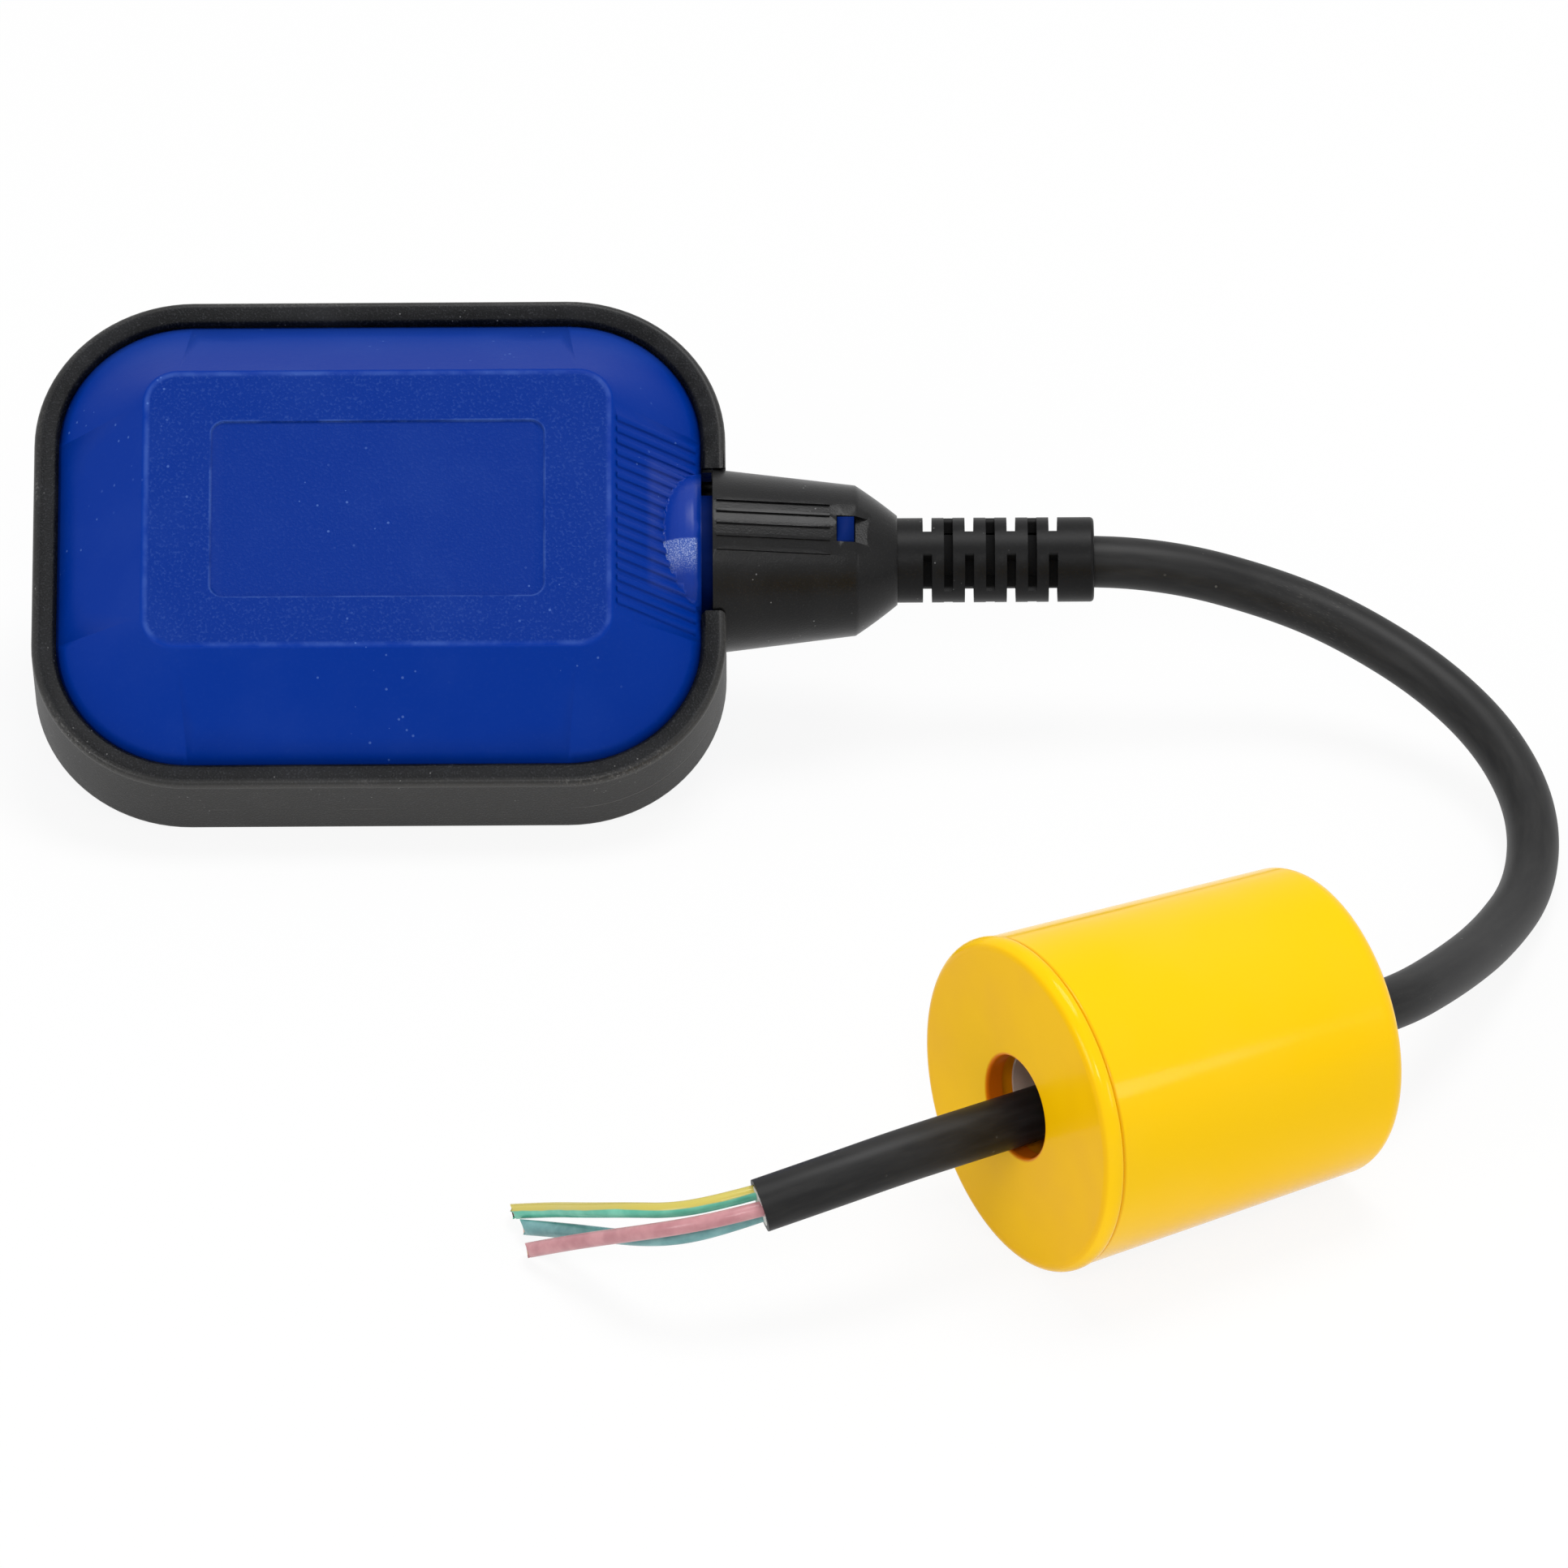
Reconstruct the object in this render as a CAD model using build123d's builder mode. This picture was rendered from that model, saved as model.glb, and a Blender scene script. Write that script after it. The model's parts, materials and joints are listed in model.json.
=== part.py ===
from build123d import *
from math import asin, atan, atan2, cos, degrees, hypot, pi, radians, sin, tan
import os

# Cable float switch with a sliding counterweight, millimetres.
# The float is drawn flat in its own frame: X along the neck, Z through the thickness,
# origin at its middle. It is then laid on its sloping lower flank, as it rests.
# The counterweight is drawn with its axis along Z, from its rear face at Z = 0.

# Float body
float_length = 107.0
float_width = 83.0
float_corner = 24.5
band_height = 16.0
band_wall = 3.8
band_edge = 1.0
band_lip = 0.7
shell_lip = 1.6
shell_wall = 2.4
plateau_length = 72.2
plateau_width = 47.2
plateau_corner = 5.3
plateau_rise = 19.7
plateau_edge = 1.0
plate_length = 51.4
plate_width = 30.0
plate_corner = 2.2
plate_depth = 0.4
flange_reach = 1.6
flange_thickness = 1.6
flank_rib_height = 0.3
flank_rib_width = 0.9
flank_rib_pitch = 1.95
flank_rib_count = 17
flank_rib_margin = 0.8

# Neck: two half spigots on the shells, and the collar that clips over them
boss_radius = 13.6
boss_reach = 9.0
boss_shoulder = 7.5
spigot_radius = 10.2
spigot_bore = 8.2
spigot_length = 23.6
latch_length = 2.6
latch_width = 5.4
latch_height = 1.3
collar_gap = 1.8
collar_length = 22.0
collar_radius = 14.3
collar_end_radius = 11.65
collar_nose_length = 6.5
collar_nose_radius = 6.9
collar_nose_bulge = 0.15
collar_fit = 0.2
collar_notch_gap = 0.3
window_length = 4.8
window_width = 6.0
window_floor = 9.9
grip_line_count = 5
grip_line_pitch = 2.1
grip_line_width = 0.55
grip_line_height = 0.35
grip_line_length = 17.5
grip_line_inset = 0.6

# Cable, its strain relief, its seal and its cores
cable_radius = 4.0
cable_slip = 0.2
relief_radius = 6.55
relief_length = 30.4
relief_flange_radius = 9.0
relief_flange_length = 2.0
relief_fit = 0.15
relief_slot_width = 1.4
relief_slot_step = 3.24
relief_slot_count = 7
relief_first_slot = 4.65
relief_web = 3.8
relief_end_round = 0.6
seal_length = 10.4
seal_gap = 0.05
seal_waist = 0.7
seal_ring_length = 1.6
seal_ring_count = 3
clamp_length = 2.6
seat_gap = 0.1
core_radius = 1.15
lead_ring = 1.5
sheath_inside = 54.0

# Inner capsule with its ball track and microswitch
capsule_length = 62.0
capsule_width = 30.0
capsule_height = 24.0
capsule_split = 6.0
capsule_wall = 1.8
capsule_corner = 3.0
capsule_lip = 1.5
post_radius = 2.5
post_x = 20.0
post_y = 10.0
ball_radius = 8.0
ball_play = 0.3
ball_touch = 0.05
rail_thickness = 2.0
rail_top = -2.0
track_gap = 3.8
case_depth = 10.2
case_end_room = 3.3
case_shift = 1.9
case_height = 6.4
case_wall = 0.8
case_lid = 0.8
pin_radius = 0.75
pin_clearance = 0.05
pin_seat = 0.02
pin_reach = 1.3
pin_inset = 0.6
ear_thickness = 0.9
ear_radius = 1.5
knuckle_radius = 1.3
lever_thickness = 0.8
lever_length = 17.0
lever_rest_angle = 15.0
lever_travel_angle = 13.5
lever_arm = 5.0
plunger_radius = 1.0
plunger_clearance = 0.06
plunger_gap = 0.15
plunger_tip = 0.3
plunger_collar = 1.6
plunger_collar_length = 0.6
blade_depth = 3.3
blade_thickness = 0.3
blade_width = 3.0
blade_inset = 2.4
blade_tail = 1.0
blade_overhang = 0.8
contact_gap = 0.1
contact_inset = 2.8
contact_size = 1.4
terminal_thickness = 0.8
terminal_width = 2.8
terminal_reach = 5.0
terminal_fit = 0.05
terminal_pitch = 7.1
terminal_nc_step = 1.5
grommet_radius = 3.6
grommet_flange = 4.4
grommet_flange_length = 1.2
lead_room = 11.5
lead_straight = 2.8
lead_jog = 3.5
lead_bend = 3.0
earth_tail = 7.0

# Counterweight
weight_length = 54.0
weight_front_radius = 25.5
weight_rear_radius = 23.3
weight_bore = 8.1
weight_tube_wall = 1.6
weight_wall = 2.4
weight_front_edge = 2.0
weight_rear_edge = 3.0
weight_mouth_edge = 0.6
cap_thickness = 2.7
cap_bore = 7.8
cap_step = 0.25
cap_lip = 1.6
cap_lip_wall = 1.6
seam_groove = 0.5
iron_gap = 0.3
iron_length = 38.0
lock_ring_inset = 1.8
lock_ring_length = 6.0
lock_ring_wall = 0.4
lock_ring_slit = 3.0
weight_yaw = 31.7
weight_away_x = 31.4
weight_away_y = -124.4

# Routes beyond the strain relief: the cable runs on level, then through the points given as steps
# from its exit in X and Y and a height above the floor. Each core leaves the sheath's cut end square.
cable_level_run = 12.0
core_square_run = 5.0
core_ring = 2.0
earth_angle = 315.0
brown_angle = 195.0
blue_angle = 75.0
cable_points = [
    (27.6, -0.1, 23.4),
    (39.2, -3.4, 19.6),
    (52.4, -11.4, 14.6),
    (62.1, -23.8, 10.4),
    (67.0, -39.7, 6.8),
    (65.7, -57.2, 4.4),
    (59.2, -76.6, 7.3),
    (51.5, -95.5, 12.7),
    (42.5, -112.3, 17.6),
    (28.9, -124.2, 21.2),
    (-32.0, -162.2, 22.8),
    (-42.0, -166.8, 21.6),
    (-52.0, -169.5, 19.3),
]
earth_points = [
    (-64.4, -169.3, 18.1),
    (-71.2, -165.9, 16.1),
    (-77.6, -157.9, 11.5),
    (-83.1, -148.9, 6.0),
    (-89.5, -142.4, 1.2),
]
brown_points = [
    (-63.1, -172.5, 17.3),
    (-69.5, -170.1, 15.1),
    (-75.2, -164.4, 10.6),
    (-81.1, -159.1, 6.2),
    (-87.2, -153.3, 1.2),
]
blue_points = [
    (-63.4, -170.0, 14.2),
    (-69.7, -166.3, 11.6),
    (-75.6, -159.2, 7.9),
    (-81.8, -152.9, 4.7),
    (-88.0, -146.5, 1.2),
]

# Float sizes worked out from the ones above
band_half = band_height / 2
skirt_height = band_half - shell_lip
blue_length = float_length - 2 * band_wall
blue_width = float_width - 2 * band_wall
blue_corner = float_corner - band_wall
flank_run = (blue_width - plateau_width) / 2
flank_rise = plateau_rise - skirt_height
flank_angle = atan2(flank_rise, flank_run)
inner_rise = plateau_rise - shell_wall
inner_inset = shell_wall * tan(flank_angle / 2)
rib_outset = flank_rib_height / sin(flank_angle)
spigot_start = blue_length / 2
spigot_end = spigot_start + spigot_length
collar_start = spigot_start + collar_gap
nose_start = collar_start + collar_length
nose_end = nose_start + collar_nose_length
relief_end = nose_end + relief_length
collar_bore = spigot_radius + collar_fit
notch_radius = collar_radius + collar_notch_gap
latch_start = spigot_end - latch_length
relief_bore = cable_radius + cable_slip
flange_start = spigot_end + collar_fit + seat_gap
flange_end = flange_start + relief_flange_length
clamp_start = spigot_end - clamp_length
seal_end = clamp_start - seat_gap
seal_start = seal_end - seal_length

# How the float lies: its lower plateau edge and its lower band edge both touch the floor
edge_slack = plateau_edge * tan(flank_angle / 2)
low_plateau_y = edge_slack - plateau_width / 2
low_plateau_z = plateau_edge - plateau_rise
low_band_y = band_edge - float_width / 2
low_band_z = band_edge - band_half
contact_span = hypot(low_plateau_y - low_band_y, low_plateau_z - low_band_z)
contact_slope = atan2(low_band_z - low_plateau_z, low_plateau_y - low_band_y)
tilt = contact_slope + asin((plateau_edge - band_edge) / contact_span)
float_height = plateau_edge - low_plateau_y * sin(tilt) - low_plateau_z * cos(tilt)
float_x = (float_length / 2 - relief_end) / 2
float_pose = Location((float_x, 0, float_height), (degrees(tilt), 0, 0))
exit_x = float_x + relief_end

# Switch sizes: the lever rests at a slope, and its face gives the plunger and the ball their places
tray_top = case_height / 2 - case_lid
tray_bottom = -case_height / 2
tray_middle = (tray_top + tray_bottom) / 2
tray_height = tray_top - tray_bottom
capsule_front = capsule_length / 2
capsule_back = -capsule_length / 2
capsule_floor = capsule_wall - capsule_height / 2
terminal_end = capsule_front - lead_room
case_back = terminal_end - terminal_reach
case_front = case_back - case_depth
case_length = capsule_width - 2 * (capsule_wall + case_end_room)
case_low_y = case_shift - case_length / 2
case_high_y = case_shift + case_length / 2
pin_x = case_front - pin_reach
pin_y = case_high_y - pin_inset
blade_face = case_front + blade_depth
blade_pivot_y = case_low_y + blade_inset
contact_y = case_high_y - contact_inset
blade_tip_y = contact_y + blade_overhang
terminal_no_y = blade_pivot_y + terminal_pitch
terminal_nc_y = contact_y + terminal_nc_step
track_end = case_front - track_gap
rest_slope = radians(lever_rest_angle)
lever_width = tray_height - 2 * ear_thickness - 2 * seat_gap
lever_half = lever_thickness / 2
plunger_y = pin_y - lever_arm
plunger_tip_x = pin_x + lever_half / cos(rest_slope) - lever_arm * tan(rest_slope) + plunger_gap
plunger_end_x = blade_face - contact_gap
ball_y = ball_touch - ball_play
ball_reach = lever_half + ball_radius + ball_play
ball_x = pin_x - (ball_reach + (pin_y - ball_y) * sin(rest_slope)) / cos(rest_slope)
plunger_travel = lever_arm * radians(lever_travel_angle)
blade_swing = plunger_travel / (plunger_y - blade_pivot_y)
blade_back = blade_face + blade_thickness
no_face = blade_back + (contact_y + contact_size / 2 - blade_pivot_y) * tan(blade_swing) + contact_gap
nc_face = blade_face - contact_gap
lead_turn_near = terminal_end + lead_straight
lead_turn_far = lead_turn_near + lead_jog
earth_lead_end = capsule_front - earth_tail

# Counterweight sizes, and how it lies on its tapered side
weight_taper = atan((weight_front_radius - weight_rear_radius) / weight_length)
seam = weight_length - cap_thickness
seam_radius = weight_rear_radius + seam * tan(weight_taper)
tube_radius = weight_bore + weight_tube_wall
yaw = radians(weight_yaw)
weight_spot = (exit_x + weight_away_x, weight_away_y, weight_rear_radius * cos(weight_taper))
weight_axis = (-cos(yaw) * cos(weight_taper), -sin(yaw) * cos(weight_taper), sin(weight_taper))
weight_pose = Location(Plane(origin=weight_spot, x_dir=(-sin(yaw), cos(yaw), 0), z_dir=weight_axis))


def finish(piece, label, pose=Location()):
    """Lays a finished piece in its place and writes it."""
    piece.part.move(pose)
    piece.part.label = label
    export_step(piece.part, f"parts/{label}.step")


def across(x):
    """A plane square to the neck at x, with its own X along the float's width."""
    return Plane(origin=(x, 0, 0), x_dir=(0, 1, 0), z_dir=(1, 0, 0))


def from_exit(steps):
    """A route's points in the part's frame, from its steps away from the cable's exit."""
    return [(exit_x + x, y, z) for x, y, z in steps]


def bend_radii(points):
    """The largest arc that each corner's two runs allow."""
    radii = []
    for before, corner, after in zip(points, points[1:], points[2:]):
        arriving = Vector(corner) - Vector(before)
        leaving = Vector(after) - Vector(corner)
        half_turn = radians(arriving.get_angle(leaving)) / 2
        radii.append(0.45 * min(arriving.length, leaving.length) / tan(half_turn))
    return radii


def core_route(angle, steps):
    """A core's points: from its place in the sheath's cut end, square out, then along its steps."""
    cut = Vector(cable_points[-1]) - Vector(cable_points[-2])
    face = Plane(origin=from_exit(cable_points)[-1], x_dir=(cut.Y, -cut.X, 0), z_dir=cut)
    place = (core_ring * cos(radians(angle)), core_ring * sin(radians(angle)))
    square_out = [tuple(face.from_local_coords(Vector(*place, run))) for run in (0, core_square_run)]
    return square_out + from_exit(steps)


def cord_tube(label, route, radius):
    """A cord's plain tube along its route. Prints its radii, its length and how true its volume is."""
    with BuildPart() as tube:
        with BuildLine() as line:
            FilletPolyline(*route, radius=bend_radii(route))
        with BuildSketch(Plane(origin=route[0], z_dir=Vector(route[1]) - Vector(route[0]))):
            Circle(radius)
        sweep()
    length = line.wires()[0].length
    print(label, "radii", [round(bend, 1) for bend in bend_radii(route)])
    print(label, f"length {length:.1f}, volume ratio {tube.part.volume / (pi * radius**2 * length):.4f}")
    return tube


os.makedirs("parts", exist_ok=True)


# Black band round the joint of the two shells, open where the collar passes
with BuildPart() as rim_band:
    with BuildSketch(Plane.XY.offset(-band_half)):
        RectangleRounded(float_length, float_width, float_corner)
    extrude(amount=band_height)
    fillet(rim_band.faces().filter_by(Axis.Z).edges(), band_edge)
    with BuildSketch(Plane.XY.offset(-band_half)):
        RectangleRounded(blue_length, blue_width, blue_corner)
    extrude(amount=band_height, mode=Mode.SUBTRACT)
    inner_rings = [face.inner_wires()[0] for face in rim_band.faces().filter_by(Axis.Z)]
    chamfer([edge for ring in inner_rings for edge in ring.edges()], band_lip)
    with BuildSketch(Plane.XY.offset(-flange_thickness)):
        RectangleRounded(blue_length + 2 * flange_reach, blue_width + 2 * flange_reach,
                         blue_corner + flange_reach)
    extrude(amount=2 * flange_thickness, mode=Mode.SUBTRACT)
    with BuildSketch(across(blue_length / 4)):
        Circle(notch_radius)
    extrude(amount=float_length, mode=Mode.SUBTRACT)

# Space inside one half of the float
with BuildPart() as shell_space:
    with BuildSketch(Plane.XY):
        RectangleRounded(blue_length - 2 * shell_wall, blue_width - 2 * shell_wall, blue_corner - shell_wall)
    extrude(amount=skirt_height)
    with BuildSketch(Plane.XY.offset(skirt_height)):
        RectangleRounded(blue_length - 2 * shell_wall, blue_width - 2 * shell_wall, blue_corner - shell_wall)
    with BuildSketch(Plane.XY.offset(inner_rise)):
        RectangleRounded(plateau_length - 2 * inner_inset, plateau_width - 2 * inner_inset,
                         plateau_corner - inner_inset)
    loft()

# One half of the blue float with its half spigot, as both shells have it
with BuildPart() as half_shell:
    with BuildSketch(Plane.XY):
        RectangleRounded(blue_length, blue_width, blue_corner)
    extrude(amount=skirt_height)
    with BuildSketch(Plane.XY.offset(skirt_height)):
        RectangleRounded(blue_length, blue_width, blue_corner)
    with BuildSketch(Plane.XY.offset(plateau_rise)):
        RectangleRounded(plateau_length, plateau_width, plateau_corner)
    loft()
    fillet(half_shell.faces().sort_by(Axis.Z)[-1].edges(), plateau_edge)
    with BuildSketch(Plane.XY):
        RectangleRounded(blue_length + 2 * flange_reach, blue_width + 2 * flange_reach,
                         blue_corner + flange_reach)
    extrude(amount=flange_thickness)
    with BuildSketch(across(spigot_start)):
        Circle(notch_radius)
    extrude(amount=float_length, mode=Mode.SUBTRACT)
    with BuildSketch(Plane.XZ):
        with BuildLine():
            Line((spigot_start, 0), (spigot_start - boss_reach, 0))
            Line((spigot_start - boss_reach, 0), (spigot_start - boss_reach, boss_radius - boss_shoulder))
            RadiusArc((spigot_start - boss_reach, boss_radius - boss_shoulder),
                      (spigot_start - boss_reach + boss_shoulder, boss_radius), boss_shoulder)
            Line((spigot_start - boss_reach + boss_shoulder, boss_radius), (spigot_start, boss_radius))
            Line((spigot_start, boss_radius), (spigot_start, 0))
        make_face()
    revolve(axis=Axis.X)
    with BuildSketch(across(spigot_start)):
        Circle(spigot_radius)
    extrude(amount=spigot_length)
    with BuildSketch(across(latch_start)):
        with Locations((0, (spigot_radius + latch_height) / 2)):
            Rectangle(latch_width, spigot_radius + latch_height)
    extrude(amount=latch_length)
    add(shell_space.part, mode=Mode.SUBTRACT)
    with BuildSketch(across(blue_length / 4)):
        Circle(spigot_bore)
    extrude(amount=float_length, mode=Mode.SUBTRACT)
    with BuildSketch(Plane.XY.offset(capsule_height / 2 + seat_gap)):
        with GridLocations(2 * post_x, 2 * post_y, 2, 2):
            Circle(post_radius)
    extrude(until=Until.NEXT)
    split(bisect_by=Plane.XY, keep=Keep.TOP)

# Fine ribs that run down the neck side of the top flank
with BuildPart() as flank_ribs:
    with BuildSketch(Plane.XY.offset(skirt_height)):
        RectangleRounded(blue_length + 2 * rib_outset, blue_width + 2 * rib_outset, blue_corner + rib_outset)
    with BuildSketch(Plane.XY.offset(plateau_rise)):
        RectangleRounded(plateau_length + 2 * rib_outset, plateau_width + 2 * rib_outset,
                         plateau_corner + rib_outset)
    loft()
    rib_low_x = plateau_length / 2 + flank_rib_margin
    rib_high_x = blue_length / 2 - flank_rib_margin
    with BuildSketch(Plane.XY.offset(skirt_height)):
        with Locations(((rib_low_x + rib_high_x) / 2, 0)):
            with GridLocations(1, flank_rib_pitch, 1, flank_rib_count):
                Rectangle(rib_high_x - rib_low_x, flank_rib_width)
    extrude(amount=flank_rise, mode=Mode.INTERSECT)
    add(shell_space.part, mode=Mode.SUBTRACT)

with BuildPart() as top_shell:
    add(half_shell.part)
    add(flank_ribs.part)
    with BuildSketch(Plane.XY.offset(plateau_rise)):
        RectangleRounded(plate_length, plate_width, plate_corner)
    extrude(amount=-plate_depth, mode=Mode.SUBTRACT)

with BuildPart() as bottom_shell:
    add(mirror(half_shell.part, about=Plane.XY))

# Collar that clips over the spigots: a tapered sleeve with a domed nose, windows and grip lines
with BuildPart() as grip_lines:
    with BuildSketch(Plane.XZ):
        with BuildLine():
            Polyline((collar_start, collar_bore), (collar_start, collar_radius + grip_line_height),
                     (nose_start, collar_end_radius + grip_line_height), (nose_start, collar_bore),
                     close=True)
        make_face()
    revolve(axis=Axis.X)
    with BuildSketch(Plane.XY):
        with Locations((collar_start + grip_line_inset + grip_line_length / 2, 0)):
            with GridLocations(1, grip_line_pitch, 1, grip_line_count):
                Rectangle(grip_line_length, grip_line_width)
    extrude(amount=float_width, both=True, mode=Mode.INTERSECT)

with BuildPart() as gland_collar:
    with BuildSketch(Plane.XZ):
        with BuildLine():
            nose_middle = ((nose_start + nose_end + collar_nose_bulge) / 2,
                           (collar_end_radius + collar_nose_radius + collar_nose_bulge) / 2)
            Line((collar_start, collar_bore), (collar_start, collar_radius))
            Line((collar_start, collar_radius), (nose_start, collar_end_radius))
            ThreePointArc((nose_start, collar_end_radius), nose_middle, (nose_end, collar_nose_radius))
            Line((nose_end, collar_nose_radius), (nose_end, relief_radius + relief_fit))
            Line((nose_end, relief_radius + relief_fit), (flange_end + seat_gap, relief_radius + relief_fit))
            Line((flange_end + seat_gap, relief_radius + relief_fit),
                 (flange_end + seat_gap, relief_flange_radius + relief_fit))
            Line((flange_end + seat_gap, relief_flange_radius + relief_fit),
                 (spigot_end + collar_fit, relief_flange_radius + relief_fit))
            Line((spigot_end + collar_fit, relief_flange_radius + relief_fit),
                 (spigot_end + collar_fit, collar_bore))
            Line((spigot_end + collar_fit, collar_bore), (collar_start, collar_bore))
        make_face()
    revolve(axis=Axis.X)
    add(grip_lines.part)
    with BuildSketch(across(latch_start - seat_gap)):
        with Locations((0, window_floor + collar_radius / 2), (0, -window_floor - collar_radius / 2)):
            Rectangle(window_width, collar_radius)
    extrude(amount=window_length, mode=Mode.SUBTRACT)

# Flexible strain relief, slotted in turn from its sides and from its top and bottom
with BuildPart() as strain_relief:
    with BuildSketch(across(flange_start)):
        Circle(relief_flange_radius)
    extrude(amount=relief_flange_length)
    with BuildSketch(across(flange_start)):
        Circle(relief_radius)
    extrude(amount=relief_end - flange_start)
    fillet(strain_relief.faces().sort_by(Axis.X)[-1].edges(), relief_end_round)
    with BuildSketch(across(flange_start)):
        Circle(relief_bore)
    extrude(amount=relief_end - flange_start, mode=Mode.SUBTRACT)
    for slot in range(relief_slot_count):
        slot_start = nose_end + relief_first_slot + slot * relief_slot_step - relief_slot_width / 2
        with BuildSketch(across(slot_start)):
            Circle(relief_radius + 1)
            if slot % 2 == 0:
                Rectangle(relief_web, 4 * relief_radius, mode=Mode.SUBTRACT)
            else:
                Rectangle(4 * relief_radius, relief_web, mode=Mode.SUBTRACT)
        extrude(amount=relief_slot_width, mode=Mode.SUBTRACT)

# Rubber seal round the cable, with sealing rings that fill the spigot
with BuildPart() as cable_seal:
    with BuildSketch(across(seal_start)):
        Circle(spigot_bore - seat_gap - seal_waist)
    extrude(amount=seal_length)
    seal_ring_step = (seal_length - seal_ring_length) / (seal_ring_count - 1)
    for ring in range(seal_ring_count):
        with BuildSketch(across(seal_start + ring * seal_ring_step)):
            Circle(spigot_bore - seat_gap)
        extrude(amount=seal_ring_length)
    with BuildSketch(across(seal_start)):
        Circle(cable_radius + seal_gap)
    extrude(amount=seal_length, mode=Mode.SUBTRACT)

with BuildPart() as clamp_ring:
    with BuildSketch(across(clamp_start)):
        Circle(spigot_bore - seat_gap)
        Circle(relief_bore, mode=Mode.SUBTRACT)
    extrude(amount=clamp_length)

# Inner capsule: an open box with the ball's track and a seat for the switch, and its lid
with BuildPart() as capsule_base:
    with BuildSketch(Plane.XY.offset(-capsule_height / 2)):
        RectangleRounded(capsule_length, capsule_width, capsule_corner)
    extrude(amount=capsule_height / 2 + capsule_split)
    with BuildSketch(Plane.XY.offset(capsule_floor)):
        RectangleRounded(capsule_length - 2 * capsule_wall, capsule_width - 2 * capsule_wall,
                         capsule_corner - capsule_wall)
    extrude(amount=capsule_height, mode=Mode.SUBTRACT)
    track_start = capsule_back + capsule_wall
    rail_y = ball_radius + ball_play + rail_thickness / 2
    with BuildSketch(Plane.XY.offset(capsule_floor)):
        with Locations(((track_start + track_end) / 2, rail_y), ((track_start + track_end) / 2, -rail_y)):
            Rectangle(track_end - track_start, rail_thickness)
    extrude(amount=rail_top - capsule_floor)
    with BuildSketch(Plane.XY.offset(capsule_floor)):
        with Locations(((track_start + track_end) / 2, 0)):
            Rectangle(track_end - track_start, 2 * rail_y)
    extrude(amount=-ball_radius - ball_play - capsule_floor)
    with BuildSketch(Plane.XY.offset(capsule_floor)):
        with Locations(((case_front + case_back) / 2, case_shift)):
            Rectangle(case_depth, case_length)
    extrude(amount=tray_bottom - capsule_floor)
    with BuildSketch(across(capsule_front - 2 * capsule_wall)):
        Circle(grommet_radius)
    extrude(amount=3 * capsule_wall, mode=Mode.SUBTRACT)

with BuildPart() as capsule_cover:
    with BuildSketch(Plane.XY.offset(capsule_split)):
        RectangleRounded(capsule_length, capsule_width, capsule_corner)
    extrude(amount=capsule_height / 2 - capsule_split)
    with BuildSketch(Plane.XY.offset(capsule_split - capsule_lip)):
        RectangleRounded(capsule_length - 2 * capsule_wall - 2 * seat_gap,
                         capsule_width - 2 * capsule_wall - 2 * seat_gap,
                         capsule_corner - capsule_wall)
    extrude(amount=capsule_lip)
    with BuildSketch(Plane.XY.offset(capsule_split - capsule_lip)):
        RectangleRounded(capsule_length - 4 * capsule_wall, capsule_width - 4 * capsule_wall,
                         capsule_corner / 4)
    extrude(amount=capsule_height / 2 - capsule_split + capsule_lip - capsule_wall, mode=Mode.SUBTRACT)

with BuildPart() as lead_grommet:
    with BuildSketch(across(capsule_front - capsule_wall - grommet_flange_length - seat_gap)):
        Circle(grommet_flange)
    extrude(amount=grommet_flange_length)
    with BuildSketch(across(capsule_front + seat_gap)):
        Circle(grommet_flange)
    extrude(amount=grommet_flange_length)
    with BuildSketch(across(capsule_front - capsule_wall - grommet_flange_length)):
        Circle(grommet_radius - seal_gap)
    extrude(amount=capsule_wall + 2 * grommet_flange_length)
    with BuildSketch(across(capsule_front - 2 * capsule_wall)):
        with PolarLocations(lead_ring, 3, start_angle=90):
            Circle(core_radius + seal_gap)
    extrude(amount=4 * capsule_wall, mode=Mode.SUBTRACT)

# Steel ball that rolls in the capsule's track as the float tips
with BuildPart() as steel_ball:
    with Locations((ball_x, ball_y, ball_y)):
        Sphere(ball_radius)

# Microswitch case: a tray with ears for the lever's pin, closed by a lid
with BuildPart() as switch_case:
    with BuildSketch(Plane.XY.offset(tray_bottom)):
        with Locations(((case_front + case_back) / 2, case_shift)):
            Rectangle(case_depth, case_length)
    extrude(amount=tray_height)
    with BuildSketch(Plane.XY.offset(tray_bottom + case_wall)):
        with Locations(((case_front + case_back) / 2, case_shift)):
            Rectangle(case_depth - 2 * case_wall, case_length - 2 * case_wall)
    extrude(amount=tray_height, mode=Mode.SUBTRACT)
    for ear_bottom in (tray_bottom, tray_top - ear_thickness):
        with BuildSketch(Plane.XY.offset(ear_bottom)):
            with Locations((pin_x, pin_y)):
                Circle(ear_radius)
            with Locations(((pin_x + case_front) / 2, case_high_y - ear_radius)):
                Rectangle(case_front - pin_x, 2 * ear_radius)
            with Locations((pin_x, pin_y)):
                Circle(pin_radius + pin_seat, mode=Mode.SUBTRACT)
        extrude(amount=ear_thickness)
    with BuildSketch(Plane(origin=(case_front, plunger_y, tray_middle), x_dir=(0, 1, 0), z_dir=(1, 0, 0))):
        Circle(plunger_radius + plunger_clearance)
    extrude(amount=2 * case_wall, mode=Mode.SUBTRACT)
    with BuildSketch(Plane(origin=(case_back, 0, tray_middle), x_dir=(0, 1, 0), z_dir=(-1, 0, 0))):
        with Locations((blade_pivot_y, 0), (terminal_no_y, 0), (terminal_nc_y, 0)):
            Rectangle(terminal_thickness + 2 * terminal_fit, terminal_width + 2 * terminal_fit)
    extrude(amount=case_wall, mode=Mode.SUBTRACT)

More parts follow.
